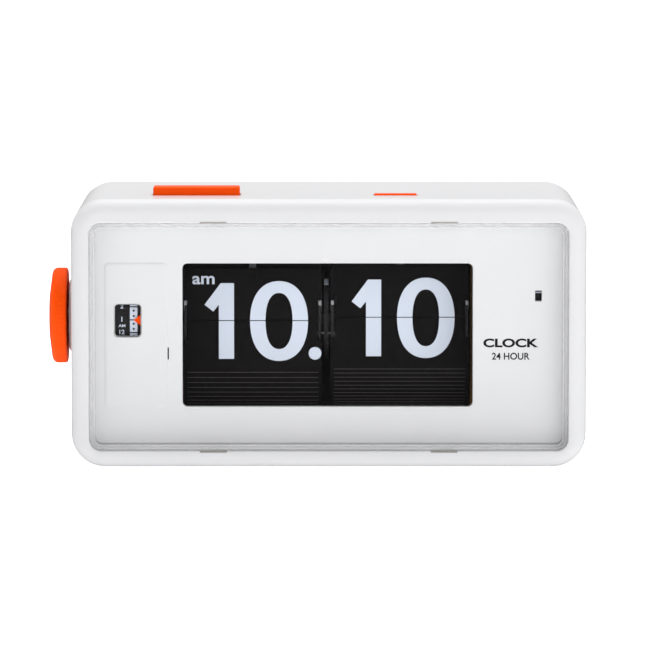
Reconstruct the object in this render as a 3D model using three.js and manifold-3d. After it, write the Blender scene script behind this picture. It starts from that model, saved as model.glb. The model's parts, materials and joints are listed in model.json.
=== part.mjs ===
// A flip number alarm clock: moulded case, clear lens, split-leaf hour and minute displays on
// turning drums, a day drum for the alarm time, and the controls that a hand reaches.
// Millimetres. +X runs to the clock's right as it is read, +Y to its back, +Z up.
import * as THREE from "three";
import { mergeVertices, mergeGeometries } from "three/addons/utils/BufferGeometryUtils.js";
import Module from "manifold-3d";

const wasm = await Module();
wasm.setup();

// ---------- driving dimensions ----------
const GAP = 0.3; // clearance between neighbouring pieces
const CASE = { width: 185, height: 96.5, depth: 92, corner: 12, edge: 5, wall: 2.6 };
const FOOT = { proud: 0.5, radius: 5.5, inset: 22, depth: 28 };
const FRONT = -CASE.depth / 2;
const BACK = CASE.depth / 2;
const MID = CASE.height / 2;

const LENS = { width: 171.4, height: 81.4, z: 47, corner: 4, recess: 1.2, thickness: 2, skirt: 1.8 };
const LENS_CLIP = { x: 41.4, width: 9.6, height: 1.6, depth: 2.4 };
const FACE = { recess: 9, thickness: 2.2, margin: 0.9 };
const FACE_FRONT = FRONT + FACE.recess;
const FACE_BACK = FACE_FRONT + FACE.thickness;
const WINDOW = { x: -0.4, z: 47.05, width: 104.4, height: 51.7, corner: 1.8 };
const ALARM_WINDOW = { x: -72.3, z: 52.3, width: 9.3, height: 11.4, corner: 0.8 };
const ALARM_PANEL = { x: -69.4, z: 47, width: 22.6, height: 52.2, raise: 0.4 };
const FLAG_WINDOW = { x: 75.4, z: 61.2, width: 2.4, height: 3.8 };

// The display: both drums turn on one axle, and each leaf hangs on the drum's pin circle.
const AXLE = { y: -7.5, z: 50.9, radius: 2, left: -60, right: 59.6 };
const PIN_CIRCLE = 15;
const DISC = { radius: 15.3, thickness: 1, inner: 23.8 };
const HUB = { radius: 8, bore: 2.4 };
const LEAF = { width: 50, height: 19, thickness: 0.4, setback: 0.45, notch: 1.5, notchHeight: 7.3 };
const SPLIT = 0.15; // half the slit between an upper and a lower leaf
const HOUR = { x: -27.5, hingeAngle: 0, leaves: 48 };
const MINUTE = { x: 25.7, hingeAngle: 4.6, leaves: 60 };

// The gear train behind the display: module, teeth, and where each axis lies.
const COARSE = 0.7;
const FINE = 0.5;
const PINION_TEETH = 12;
const COUNTER_TEETH = 48;
const HOUR_TEETH = 72;
const CENTRES = (COARSE * (PINION_TEETH + COUNTER_TEETH)) / 2;
const COUNTER = { y: AXLE.y + CENTRES, z: AXLE.z, radius: 1.5 };
const SET_WHEEL = { y: COUNTER.y + 19.5, radius: 12, x: 63, width: 5 };
SET_WHEEL.z = COUNTER.z + Math.sqrt(CENTRES ** 2 - 19.5 ** 2);
const MOTOR = { y: COUNTER.y, z: COUNTER.z - CENTRES, x: 73, width: 20, size: 27 };
const RIGHT_GEARS = 56.5; // x of the coarse gears' middle
const LEFT_GEARS = -57.6; // x of the fine gears' middle
const GEAR_WIDTH = 2.6;

const FRAME = { left: -53.1, right: 51.3, thickness: 1.4, front: -17, back: 38, bottom: 3, top: 86.5 };
const SHELF = { front: -23.5, back: 8, thickness: 1.4 };
const SECONDS = { radius: 17, x0: -1.7, x1: -0.1 };

const KNOB = { radius: 17.3, rim: 3.6, crown: 3.2, y: -16.4, z: 52.3, tip: 101.5 };
const POINTER = { left: -70.2, right: -65.6, half: 2.4 };
const BOSS = { radius: 13, height: 1.4 };
const ALARM_DRUM = { radius: 18, x: -72.6, width: 13.4, bore: 2 };

const TOP_BUTTON = { x: -47.8, width: 31.2, depth: 11, proud: 2.9, front: -25 };
const LIGHT_BUTTON = { x: 24.1, width: 15.4, depth: 5, proud: 0.5, front: -25 };

const COVER = { thickness: 2.5, recess: 2.3 };
const COVER_BACK = BACK - COVER.recess;
const COVER_FRONT = COVER_BACK - COVER.thickness;
const DOOR = { x: 0, z: 22, width: 70, height: 36 };
const CELL = { radius: 17, length: 60, nub: 4.5, y: 19.6, z: 22 };
const SCREW = { x: 83, z: 8.5, head: 3, shank: 1.4, length: 12 };
const GRILLE = { x: -70, z: 60, width: 22, slot: 1.8, pitch: 4.4, count: 5 };
const SWITCH = { x: FLAG_WINDOW.x, z: FLAG_WINDOW.z, travel: 4 };
const SPRING = { wire: 0.35, turns: 4, sides: 5, steps: 10 };

// ---------- solids ----------
function solid(geometry) {
  const bare = geometry.index ? geometry.toNonIndexed() : geometry.clone();
  for (const name of Object.keys(bare.attributes)) {
    if (name !== "position") bare.deleteAttribute(name);
  }
  const merged = mergeVertices(bare, 1e-4);
  return new wasm.Manifold(
    new wasm.Mesh({
      numProp: 3,
      vertProperties: merged.attributes.position.array,
      triVerts: new Uint32Array(merged.index.array),
    }),
  );
}

function geometryOf(manifold) {
  const mesh = manifold.getMesh();
  const points = new Float32Array(mesh.numVert * 3);
  for (let i = 0; i < mesh.numVert; i++) {
    const start = i * mesh.numProp;
    points.set(mesh.vertProperties.subarray(start, start + 3), i * 3);
  }
  const geometry = new THREE.BufferGeometry();
  geometry.setAttribute("position", new THREE.BufferAttribute(points, 3));
  geometry.setIndex(new THREE.BufferAttribute(mesh.triVerts, 1));
  geometry.computeVertexNormals();
  return geometry;
}

const joined = (first, ...rest) => rest.reduce((all, one) => all.add(one), first);
const cut = (body, ...tools) => tools.reduce((all, one) => all.subtract(one), body);

// A block from its lowest to its highest corner.
function block(x0, x1, y0, y1, z0, z1) {
  const geometry = new THREE.BoxGeometry(x1 - x0, y1 - y0, z1 - z0);
  return solid(geometry.translate((x0 + x1) / 2, (y0 + y1) / 2, (z0 + z1) / 2));
}

// A round bar along X, centred on y and z.
function barX(radius, x0, x1, y = 0, z = 0, sides = 24) {
  const geometry = new THREE.CylinderGeometry(radius, radius, x1 - x0, sides);
  return solid(geometry.rotateZ(Math.PI / 2).translate((x0 + x1) / 2, y, z));
}

// A round bar along Y.
function barY(radius, y0, y1, x = 0, z = 0, sides = 24) {
  const geometry = new THREE.CylinderGeometry(radius, radius, y1 - y0, sides);
  return solid(geometry.translate(x, (y0 + y1) / 2, z));
}

// A round bar along Z.
function barZ(radius, z0, z1, x = 0, y = 0, sides = 24) {
  const geometry = new THREE.CylinderGeometry(radius, radius, z1 - z0, sides);
  return solid(geometry.rotateX(Math.PI / 2).translate(x, y, (z0 + z1) / 2));
}

function roundedRectangle(width, height, radius) {
  const shape = new THREE.Shape();
  const x = width / 2;
  const z = height / 2;
  shape.moveTo(-x + radius, -z);
  shape.lineTo(x - radius, -z);
  shape.absarc(x - radius, -z + radius, radius, -Math.PI / 2, 0, false);
  shape.lineTo(x, z - radius);
  shape.absarc(x - radius, z - radius, radius, 0, Math.PI / 2, false);
  shape.lineTo(-x + radius, z);
  shape.absarc(-x + radius, z - radius, radius, Math.PI / 2, Math.PI, false);
  shape.lineTo(-x, -z + radius);
  shape.absarc(-x + radius, -z + radius, radius, Math.PI, 1.5 * Math.PI, false);
  return shape;
}

// A rounded rectangle seen from the front, from y0 to y1, with its middle at x and z.
function slab(width, height, radius, y0, y1, x = 0, z = MID, segments = 4) {
  const shape = roundedRectangle(width, height, radius);
  const geometry = new THREE.ExtrudeGeometry(shape, {
    depth: y1 - y0,
    bevelEnabled: false,
    curveSegments: segments,
  });
  return solid(geometry.rotateX(Math.PI / 2).translate(x, y1, z));
}

// The same, with its front edge rounded or sloped over edge mm across and rise mm deep.
function softSlab(width, height, radius, y0, y1, edge, rise, steps, x = 0, z = MID) {
  const inner = roundedRectangle(width - 2 * edge, height - 2 * edge, Math.max(radius - edge, 0.05));
  const geometry = new THREE.ExtrudeGeometry(inner, {
    depth: y1 - y0 - 2 * rise,
    bevelThickness: rise,
    bevelSize: edge,
    bevelSegments: steps,
    curveSegments: 6,
  });
  return solid(geometry.rotateX(Math.PI / 2).translate(x, y1 - rise, z));
}

// A profile drawn as [y, z] points, run along X.
function profileX(points, x0, x1) {
  const shape = new THREE.Shape(points.map(([y, z]) => new THREE.Vector2(y, z)));
  const geometry = new THREE.ExtrudeGeometry(shape, { depth: x1 - x0, bevelEnabled: false });
  // Shape x and y become Y and Z, and its depth becomes X.
  const turn = new THREE.Matrix4().makeBasis(
    new THREE.Vector3(0, 1, 0),
    new THREE.Vector3(0, 0, 1),
    new THREE.Vector3(1, 0, 0),
  );
  return solid(geometry.applyMatrix4(turn).translate(x0, 0, 0));
}

// A profile of [radius, x] points turned about the X axis. It starts and ends on the axis.
function turnedX(points, sides = 32) {
  const geometry = new THREE.LatheGeometry(
    points.map(([radius, x]) => new THREE.Vector2(radius, x)),
    sides,
  );
  const body = solid(geometry.rotateZ(-Math.PI / 2));
  return body;
}

// An involute gear about the X axis, with a bore. One tooth points along the angle given.
function gear(module, teeth, bore, pointing, width = GEAR_WIDTH) {
  const pressure = (25 * Math.PI) / 180;
  const backlash = 0.22 * module;
  const pitch = (module * teeth) / 2;
  const base = pitch * Math.cos(pressure);
  const tip = pitch + 0.85 * module;
  const root = pitch - 1.15 * module;
  const involute = (angle) => Math.tan(angle) - angle;
  const halfAtPitch = Math.PI / (2 * teeth) - backlash / (2 * pitch);
  const halfAt = (radius) => {
    const angle = radius > base ? Math.acos(base / radius) : 0;
    return halfAtPitch + involute(pressure) - involute(angle);
  };
  const flank = [root, pitch, tip];
  const points = [];
  for (let tooth = 0; tooth < teeth; tooth++) {
    const middle = pointing + (2 * Math.PI * tooth) / teeth;
    const side = (radius, sign) => [
      radius * Math.cos(middle + sign * halfAt(radius)),
      radius * Math.sin(middle + sign * halfAt(radius)),
    ];
    points.push(...flank.map((radius) => side(radius, -1)));
    points.push(...[...flank].reverse().map((radius) => side(radius, 1)));
  }
  const body = profileX(points, -width / 2, width / 2);
  return bore > 0 ? cut(body, barX(bore, -width, width)) : body;
}

// ---------- finishes ----------
const finish = (colour, roughness, metalness = 0, extra = {}) =>
  new THREE.MeshStandardMaterial({ color: colour, roughness, metalness, ...extra });
const whiteShell = finish(0xe9e9ea, 0.35);
const whiteFace = finish(0xe4e4e4, 0.6);
const clear = finish(0xf4f6f8, 0.05, 0, { transparent: true, opacity: 0.15 });
const orange = finish(0xff5500, 0.4);
const leafBlack = finish(0x141014, 0.55);
const blackPlastic = finish(0x0b0b0c, 0.5);
const amber = finish(0x8a5a1c, 0.5);
const steel = finish(0xb8babd, 0.35, 1);
const brass = finish(0xb08d4a, 0.35, 1);
const nylon = finish(0xe8e4d8, 0.5);
const board = finish(0x2f6b3a, 0.6);
const greyRubber = finish(0x4a4a4c, 0.9);

const clock = new THREE.Group();
clock.position.set((KNOB.tip - CASE.width / 2) / 2, 0, FOOT.proud);

function place(parent, name, body, material, x = 0, y = 0, z = 0) {
  const mesh = new THREE.Mesh(geometryOf(body), material);
  mesh.name = name;
  mesh.position.set(x, y, z);
  parent.add(mesh);
  return mesh;
}

function groupAt(x, y, z) {
  const group = new THREE.Group();
  group.position.set(x, y, z);
  clock.add(group);
  return group;
}

// ---------- case ----------
function housing() {
  const { width, height, corner, edge, wall } = CASE;
  const inside = slab(
    width - 2 * wall, height - 2 * wall, corner - wall, FACE_FRONT - GAP, BACK + 1);
  const opening = slab(
    LENS.width + 2 * GAP, LENS.height + 2 * GAP, LENS.corner + GAP, FRONT - 1, FACE_FRONT, 0, LENS.z);
  // Made longer than the case and cut square, so that only its front edge is rounded.
  const outer = softSlab(width, height, corner, FRONT, BACK + 2 * edge, edge, edge, 4);
  let body = cut(outer, slab(width + 10, height + 10, 2, BACK, BACK + 20), inside, opening);
  for (const side of [-1, 1]) {
    for (const z of [SCREW.z, height - SCREW.z]) {
      const post = barY(4.2, COVER_FRONT - 24, COVER_FRONT - GAP, side * SCREW.x, z, 16);
      const web = block(
        side > 0 ? SCREW.x : -width / 2 + 1, side > 0 ? width / 2 - 1 : -SCREW.x,
        COVER_FRONT - 24, COVER_FRONT - GAP, z - 1, z + 1);
      const pilot = barY(SCREW.shank + GAP, COVER_FRONT - 14, BACK, side * SCREW.x, z, 12);
      body = cut(joined(body, post, web), pilot);
    }
    // The lens clips hook into these pockets above and below the opening.
    for (const end of [-1, 1]) {
      const edgeZ = LENS.z + (end * (LENS.height + 2 * GAP)) / 2;
      const z0 = edgeZ - (end > 0 ? 1 : LENS_CLIP.height + GAP);
      body = cut(body, block(
        side * LENS_CLIP.x - LENS_CLIP.width / 2 - GAP, side * LENS_CLIP.x + LENS_CLIP.width / 2 + GAP,
        FACE_FRONT - LENS_CLIP.depth - 2 * GAP, FACE_FRONT + GAP,
        z0, z0 + LENS_CLIP.height + GAP + 1));
    }
  }
  // Round boss and hole for the alarm knob's shaft on the left side.
  const left = -width / 2;
  body = joined(body, barX(BOSS.radius, left - BOSS.height, left + 1, KNOB.y, KNOB.z, 32));
  body = cut(body, barX(2.9, left - 5, left + 5, KNOB.y, KNOB.z));
  // Openings for the two top buttons.
  for (const button of [TOP_BUTTON, LIGHT_BUTTON]) {
    body = cut(body, block(
      button.x - button.width / 2 - GAP, button.x + button.width / 2 + GAP,
      button.front - GAP, button.front + button.depth + GAP, height - 5, height + 1));
  }
  // Shallow seats for the feet.
  for (const [x, y] of footPlaces()) body = cut(body, barZ(FOOT.radius + GAP, -1, 0.9, x, y));
  return body;
}

function footPlaces() {
  const x = CASE.width / 2 - FOOT.inset;
  return [[-x, -FOOT.depth], [x, -FOOT.depth], [-x, FOOT.depth], [x, FOOT.depth]];
}

function lens() {
  const { width, height, corner, recess, thickness, skirt } = LENS;
  const front = FRONT + recess;
  const back = FACE_FRONT - GAP;
  // Twice as deep as it needs to be, so that only its front keeps the sloped edge.
  const outer = softSlab(width, height, corner, front, back + 10, 1.8, 1.8, 2, 0, LENS.z);
  const hollow = slab(
    width - 2 * skirt, height - 2 * skirt, corner - skirt, front + thickness, back + 20, 0, LENS.z);
  let body = cut(outer, hollow, slab(200, 120, 2, back, back + 20));
  for (const side of [-1, 1]) {
    for (const end of [-1, 1]) {
      const edgeZ = LENS.z + (end * height) / 2;
      const z0 = edgeZ - (end > 0 ? 0.8 : LENS_CLIP.height - GAP);
      body = joined(body, block(
        side * LENS_CLIP.x - LENS_CLIP.width / 2, side * LENS_CLIP.x + LENS_CLIP.width / 2,
        back - LENS_CLIP.depth, back, z0, z0 + LENS_CLIP.height - GAP + 0.8));
    }
  }
  return body;
}

function face() {
  const { wall, width, height, corner } = CASE;
  const rim = 2 * (wall + FACE.margin);
  let body = slab(
    width - rim, height - rim, corner - wall - FACE.margin, FACE_FRONT, FACE_BACK);
  body = joined(body, slab(
    ALARM_PANEL.width, ALARM_PANEL.height, 1, FACE_FRONT - ALARM_PANEL.raise + 0.1, FACE_BACK,
    ALARM_PANEL.x, ALARM_PANEL.z));
  const hole = (window, corner_) => slab(
    window.width, window.height, corner_, FACE_FRONT - 3, FACE_BACK + 1, window.x, window.z);
  const pocket = block(
    POINTER.left, POINTER.right + GAP, FACE_BACK - 1.1, FACE_BACK + 1,
    KNOB.z - POINTER.half - GAP, KNOB.z + POINTER.half + GAP);
  return cut(
    body, hole(WINDOW, WINDOW.corner), hole(ALARM_WINDOW, ALARM_WINDOW.corner),
    hole(FLAG_WINDOW, 0.3), pocket);
}

function rearCover() {
  const { wall, width, height, corner } = CASE;
  const rim = 2 * (wall + GAP);
  let body = slab(width - rim, height - rim, corner - wall - GAP, COVER_FRONT, COVER_BACK);
  body = cut(body, slab(
    DOOR.width + 2 * GAP, DOOR.height + 2 * GAP, 3, COVER_FRONT - 1, BACK, DOOR.x, DOOR.z));
  body = cut(body, block(
    SET_WHEEL.x - SET_WHEEL.width / 2 - 0.6, SET_WHEEL.x + SET_WHEEL.width / 2 + 0.6,
    COVER_FRONT - 1, BACK, SET_WHEEL.z - 9.5, SET_WHEEL.z + 9.5));
  for (let i = 0; i < GRILLE.count; i++) {
    const z = GRILLE.z + (i - (GRILLE.count - 1) / 2) * GRILLE.pitch;
    body = cut(body, slab(
      GRILLE.width, GRILLE.slot, 0.8, COVER_FRONT - 1, BACK, GRILLE.x, z, 2));
  }
  for (const [x, z] of screwPlaces()) {
    body = cut(body, barY(SCREW.shank + GAP, COVER_FRONT - 1, BACK, x, z, 12));
    body = cut(body, barY(SCREW.head + GAP, COVER_BACK - 1.2, BACK, x, z, 16));
  }
  // Slot for the alarm switch's stem, long enough for its travel.
  return cut(body, block(
    SWITCH.x - 1.8, SWITCH.x + 1.8, COVER_FRONT - 1, BACK, SWITCH.z - 1.6, SWITCH.z + SWITCH.travel + 1.6));
}

function screwPlaces() {
  const top = CASE.height - SCREW.z;
  return [[-SCREW.x, SCREW.z], [SCREW.x, SCREW.z], [-SCREW.x, top], [SCREW.x, top]];
}

function screw() {
  const head = barY(SCREW.head, -1, 0, 0, 0, 16);
  const shank = barY(SCREW.shank, -SCREW.length, -0.5, 0, 0, 12);
  const cross = joined(block(-1.8, 1.8, -0.7, 1, -0.3, 0.3), block(-0.3, 0.3, -0.7, 1, -1.8, 1.8));
  return cut(joined(head, shank), cross);
}

function batteryDoor() {
  let body = slab(DOOR.width, DOOR.height, 3, COVER_FRONT, COVER_BACK, 0, 0);
  // Finger grip: three ribs standing a little proud inside the case's rear edge.
  for (const x of [-6, 0, 6]) {
    body = joined(body, block(x - 1, x + 1, COVER_BACK - 0.5, COVER_BACK + 0.8, 8, 14));
  }
  return body;
}

place(clock, "case_housing", housing(), whiteShell);
place(clock, "front_lens", lens(), clear);
place(clock, "face_plate", face(), whiteFace);
place(clock, "rear_cover", rearCover(), whiteShell);
place(clock, "battery_door", batteryDoor(), whiteShell, DOOR.x, 0, DOOR.z);
screwPlaces().forEach(([x, z], i) => {
  place(clock, `cover_screw_${i + 1}`, screw(), steel, x, COVER_BACK + 0.1, z);
});
footPlaces().forEach(([x, y], i) => {
  place(clock, `foot_${i + 1}`, barZ(FOOT.radius, -FOOT.proud, 0.6), greyRubber, x, y, 0);
});

// ---------- display ----------
// One leaf standing up from its hinge line, which runs along X through the origin.
function leaf() {
  const { width, height, notch, notchHeight, thickness, setback } = LEAF;
  const y0 = setback - thickness / 2;
  const y1 = setback + thickness / 2;
  return joined(
    block(-width / 2, width / 2, y0, y1, notchHeight, height),
    block(-width / 2 + notch, width / 2 - notch, y0, y1, SPLIT, notchHeight + 0.1));
}

const hingePoint = (angle) => ({
  y: AXLE.y - PIN_CIRCLE * Math.cos(angle),
  z: AXLE.z + PIN_CIRCLE * Math.sin(angle),
});

// The leaves waiting behind the standing one, stepping up and back round the drum.
// sign is 1 for the pack above the hinge and -1 for the fallen pack below it.
function pack(unit, sign, steps) {
  const start = (unit.hingeAngle * Math.PI) / 180;
  const pitch = (2 * Math.PI) / unit.leaves;
  const hinge = hingePoint(start);
  const front = hinge.y + LEAF.setback - LEAF.thickness / 2 + (sign > 0 ? 2 * LEAF.thickness : 0);
  const outline = [[front, hinge.z + sign * SPLIT], [front, hinge.z + sign * LEAF.height]];
  let y = front;
  for (let i = 1; i <= steps; i++) {
    const pin = hingePoint(start + sign * i * pitch);
    y = Math.max(y + 2 * LEAF.thickness, pin.y);
    outline.push([y, outline.at(-1)[1]], [y, pin.z + sign * LEAF.height]);
  }
  outline.push([y + LEAF.thickness, outline.at(-1)[1]]);
  // Back down the leaves' inner edges, just outside the drum's barrel.
  const last = start + sign * steps * pitch;
  for (let i = 0; i <= 4; i++) {
    const angle = last + ((start + sign * 0.02 - last) * i) / 4;
    const radius = PIN_CIRCLE - 2.5;
    const inner = { y: AXLE.y - radius * Math.cos(angle), z: AXLE.z + radius * Math.sin(angle) };
    outline.push([inner.y, inner.z + (i === 4 ? sign * SPLIT : 0)]);
  }
  const narrow = LEAF.width / 2 - LEAF.notch;
  const inner = profileX(sign > 0 ? outline : outline.reverse(), -narrow, narrow);
  // The front leaf of the pack is full width away from its hinge.
  const wide = block(
    -LEAF.width / 2, LEAF.width / 2, front, front + LEAF.thickness,
    Math.min(hinge.z + sign * LEAF.notchHeight, hinge.z + sign * LEAF.height),
    Math.max(hinge.z + sign * LEAF.notchHeight, hinge.z + sign * LEAF.height));
  return joined(inner, wide);
}

function display(label, unit) {
  const start = (unit.hingeAngle * Math.PI) / 180;
  const hinge = hingePoint(start);
  place(clock, `${label}_leaf_standing`, leaf(), leafBlack, unit.x, hinge.y, hinge.z);
  place(clock, `${label}_leaves_upper`, pack(unit, 1, 9), leafBlack, unit.x);
  place(clock, `${label}_leaves_fallen`, pack(unit, -1, 10), leafBlack, unit.x);
}

// A drum disc, with lightening holes; its rim carries the leaves' pins.
function disc() {
  const { radius, thickness } = DISC;
  let body = cut(barX(radius, 0, thickness, 0, 0, 36), barX(HUB.radius - 2, -1, 3));
  for (let i = 0; i < 5; i++) {
    const angle = (2 * Math.PI * i) / 5;
    const at = 11.6;
    body = cut(body, barX(2, -1, 3, at * Math.cos(angle), at * Math.sin(angle), 10));
  }
  return body;
}

// A drum's barrel runs on the axle, with a step at each end that takes a disc.
function barrel() {
  const inner = DISC.inner;
  const body = joined(
    barX(HUB.radius, -inner + GAP, inner - GAP, 0, 0, 32),
    barX(HUB.radius - 2 - GAP, -inner - DISC.thickness, inner + DISC.thickness));
  return cut(body, barX(HUB.bore, -40, 40));
}

function drum(label, unit, tail) {
  const group = groupAt(unit.x, AXLE.y, AXLE.z);
  place(group, `${label}_disc_left`, disc(), blackPlastic, -DISC.inner - DISC.thickness);
  place(group, `${label}_disc_right`, disc(), blackPlastic, DISC.inner);
  place(group, `${label}_barrel`, joined(barrel(), tail), blackPlastic);
}

display("hour", HOUR);
display("minute", MINUTE);

// Each barrel has a sleeve through the frame plate that carries its gear.
function sleeve(x0, x1) {
  return cut(barX(3.4, x0, x1), barX(HUB.bore, -80, 80));
}
const hourEnd = LEFT_GEARS - GEAR_WIDTH / 2 - HOUR.x;
const minuteEnd = RIGHT_GEARS + GEAR_WIDTH / 2 - MINUTE.x;
drum("hour", HOUR, sleeve(hourEnd, -DISC.inner));
drum("minute", MINUTE, sleeve(DISC.inner, minuteEnd - GEAR_WIDTH - GAP));
place(clock, "drum_axle", barX(AXLE.radius, AXLE.left, AXLE.right), steel, 0, AXLE.y, AXLE.z);

// The seconds wheel turns between the two drums; its white mark shows through the gap.
const secondsWheel = groupAt(0, AXLE.y, AXLE.z);
place(secondsWheel, "seconds_wheel",
  cut(barX(SECONDS.radius, SECONDS.x0, SECONDS.x1, 0, 0, 40), barX(HUB.bore, -5, 5)),
  blackPlastic);

// ---------- gear train ----------
const gears = {
  // Behind the drums a tooth of each driver points along +Y, and a gap of each follower meets it.
  minute: gear(COARSE, PINION_TEETH, HUB.bore, 0),
  hour: gear(FINE, HOUR_TEETH, 3.4 + GAP, 0),
  counterWheel: gear(COARSE, COUNTER_TEETH, COUNTER.radius + GAP, Math.PI / COUNTER_TEETH),
  counterPinion: gear(FINE, PINION_TEETH, COUNTER.radius + GAP, Math.PI / PINION_TEETH),
};
place(clock, "minute_gear", gears.minute, brass, RIGHT_GEARS, AXLE.y, AXLE.z);
place(clock, "hour_gear", gears.hour, nylon, LEFT_GEARS, AXLE.y, AXLE.z);
place(clock, "counter_wheel", gears.counterWheel, nylon, RIGHT_GEARS, COUNTER.y, COUNTER.z);
place(clock, "counter_pinion", gears.counterPinion, brass, LEFT_GEARS, COUNTER.y, COUNTER.z);
place(clock, "counter_shaft", barX(COUNTER.radius, LEFT_GEARS - 3, RIGHT_GEARS + 3), steel,
  0, COUNTER.y, COUNTER.z);

// A pinion meshing with the counter wheel from another side: a gap of the wheel faces it only
// if its own tooth is turned to suit.
function pinionFacing(y, z, bore) {
  const towards = Math.atan2(z - COUNTER.z, y - COUNTER.y);
  const wheelPitch = (2 * Math.PI) / COUNTER_TEETH;
  const offset = (towards - Math.PI / COUNTER_TEETH) / wheelPitch;
  const share = offset - Math.floor(offset); // how far past a wheel tooth the line of centres lies
  const tooth = Math.PI + towards + (share * 2 * Math.PI) / PINION_TEETH + Math.PI / PINION_TEETH;
  return gear(COARSE, PINION_TEETH, bore, tooth);
}

const motorShaft = barX(1, 0, MOTOR.x - MOTOR.width / 2 + 3 - RIGHT_GEARS, 0, 0, 16);
place(clock, "motor_pinion", joined(pinionFacing(MOTOR.y, MOTOR.z, 0), motorShaft), brass,
  RIGHT_GEARS, MOTOR.y, MOTOR.z);
place(clock, "time_set_pinion", pinionFacing(SET_WHEEL.y, SET_WHEEL.z, 1.5 + GAP), brass,
  RIGHT_GEARS, SET_WHEEL.y, SET_WHEEL.z);

function setWheel() {
  const half = SET_WHEEL.width / 2;
  return joined(
    barX(SET_WHEEL.radius, -half, half, 0, 0, 36),
    barX(1.5, FRAME.right - 1 - SET_WHEEL.x, 0, 0, 0, 16));
}
place(clock, "time_set_wheel", setWheel(), blackPlastic, SET_WHEEL.x, SET_WHEEL.y, SET_WHEEL.z);

function motorBox() {
  const { width, size } = MOTOR;
  let body = block(-width / 2, width / 2, -size / 2, size / 2, -size / 2, size / 2);
  const plate = FRAME.right + FRAME.thickness + GAP - MOTOR.x;
  for (const y of [-10, 10]) body = joined(body, barX(1.6, plate, 0, y, -11, 12));
  return cut(body, barX(1 + GAP, -width / 2 - 1, -width / 2 + 4, 0, 0, 16));
}
place(clock, "quartz_motor", motorBox(), blackPlastic, MOTOR.x, MOTOR.y, MOTOR.z);

// ---------- frame ----------
function framePlate(x) {
  const body = block(
    x, x + FRAME.thickness, FRAME.front, FRAME.back, FRAME.bottom, FRAME.top);
  return cut(
    body,
    barX(4, x - 3, x + 4, AXLE.y, AXLE.z),
    barX(2, x - 3, x + 4, COUNTER.y, COUNTER.z, 16),
    barX(2, x - 3, x + 4, SET_WHEEL.y, SET_WHEEL.z, 16));
}
place(clock, "frame_left", framePlate(FRAME.left - FRAME.thickness), amber);
place(clock, "frame_right", framePlate(FRAME.right), amber);

// A shelf and a bar tie the plates together. The shelf carries the leaf catches and button springs.
const span = [FRAME.left + GAP, FRAME.right - GAP];
place(clock, "frame_shelf",
  block(...span, SHELF.front, SHELF.back, FRAME.top - SHELF.thickness, FRAME.top), amber);
place(clock, "frame_rear_bar", block(...span, FRAME.back - 3, FRAME.back, 68, 78), amber);

function catchFinger(unit) {
  const hinge = hingePoint((unit.hingeAngle * Math.PI) / 180);
  const tip = hinge.z + LEAF.height + 0.4;
  return joined(
    block(-1.2, 1.2, hinge.y - 2, hinge.y - 1.6, tip, FRAME.top + 1),
    block(-1.2, 1.2, hinge.y - 2, 0 - GAP, FRAME.top + GAP, FRAME.top + 1));
}
place(clock, "hour_leaf_catch", catchFinger(HOUR), steel, HOUR.x);
place(clock, "minute_leaf_catch", catchFinger(MINUTE), steel, MINUTE.x);

// ---------- alarm time drum and knob ----------
const alarm = groupAt(0, KNOB.y, KNOB.z);
function knob() {
  const back = 0;
  const rim = back + KNOB.rim;
  const tip = rim + KNOB.crown;
  const profile = [[0, back], [KNOB.radius, back], [KNOB.radius, rim]];
  for (let i = 1; i <= 5; i++) {
    const angle = (i * Math.PI) / 10;
    profile.push([KNOB.radius * (0.62 + 0.38 * Math.cos(angle)), rim + 2.2 * Math.sin(angle)]);
  }
  profile.push([0, tip]);
  return cut(turnedX(profile, 48).rotate([0, 0, 180]), barX(2.8, -1.6, 1, 0, 0, 16));
}
const knobBack = -KNOB.tip + KNOB.rim + KNOB.crown;
place(alarm, "alarm_knob", knob(), orange, knobBack);
place(alarm, "alarm_shaft",
  barX(2.5, knobBack - 1.2, ALARM_DRUM.x + ALARM_DRUM.width / 2 + 4), steel);
function alarmDrum() {
  const half = ALARM_DRUM.width / 2;
  const body = barX(ALARM_DRUM.radius, -half, half, 0, 0, 48);
  const hollow = cut(
    barX(ALARM_DRUM.radius - 1.6, -half + 1.6, half + 1, 0, 0, 32),
    barX(4.5, -half, half + 1));
  return cut(body, hollow, barX(2.5 + GAP, -half - 1, half + 1));
}
place(alarm, "alarm_drum", alarmDrum(), blackPlastic, ALARM_DRUM.x);

function alarmBracket(x) {
  const body = block(x, x + 1.6, FACE_BACK + GAP, KNOB.y + 6, KNOB.z - 8, KNOB.z + 8);
  return cut(body, barX(2.5 + GAP, x - 2, x + 3, KNOB.y, KNOB.z));
}
place(clock, "alarm_bracket_left",
  alarmBracket(ALARM_DRUM.x - ALARM_DRUM.width / 2 - 2.4), whiteFace);
place(clock, "alarm_bracket_right",
  alarmBracket(ALARM_DRUM.x + ALARM_DRUM.width / 2 + 0.8), whiteFace);

// The orange pointer beside the drum sits in a pocket in the back of the face.
function pointer() {
  const { left, right, half } = POINTER;
  const side = (Math.atan2(half, right - left - 1.6) * 180) / Math.PI;
  // Everything above one slanting line, and below its mirror image, is cut off a plain tab.
  const waste = block(-20, 20, -1, 2, 0, 10);
  return cut(
    block(0, right - left, 0, 0.6, -half, half),
    waste.rotate([0, -side, 0]), waste.mirror([0, 0, 1]).rotate([0, side, 0]));
}
place(clock, "alarm_pointer", pointer(), orange, POINTER.left, FACE_BACK - 0.8, KNOB.z);

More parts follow.
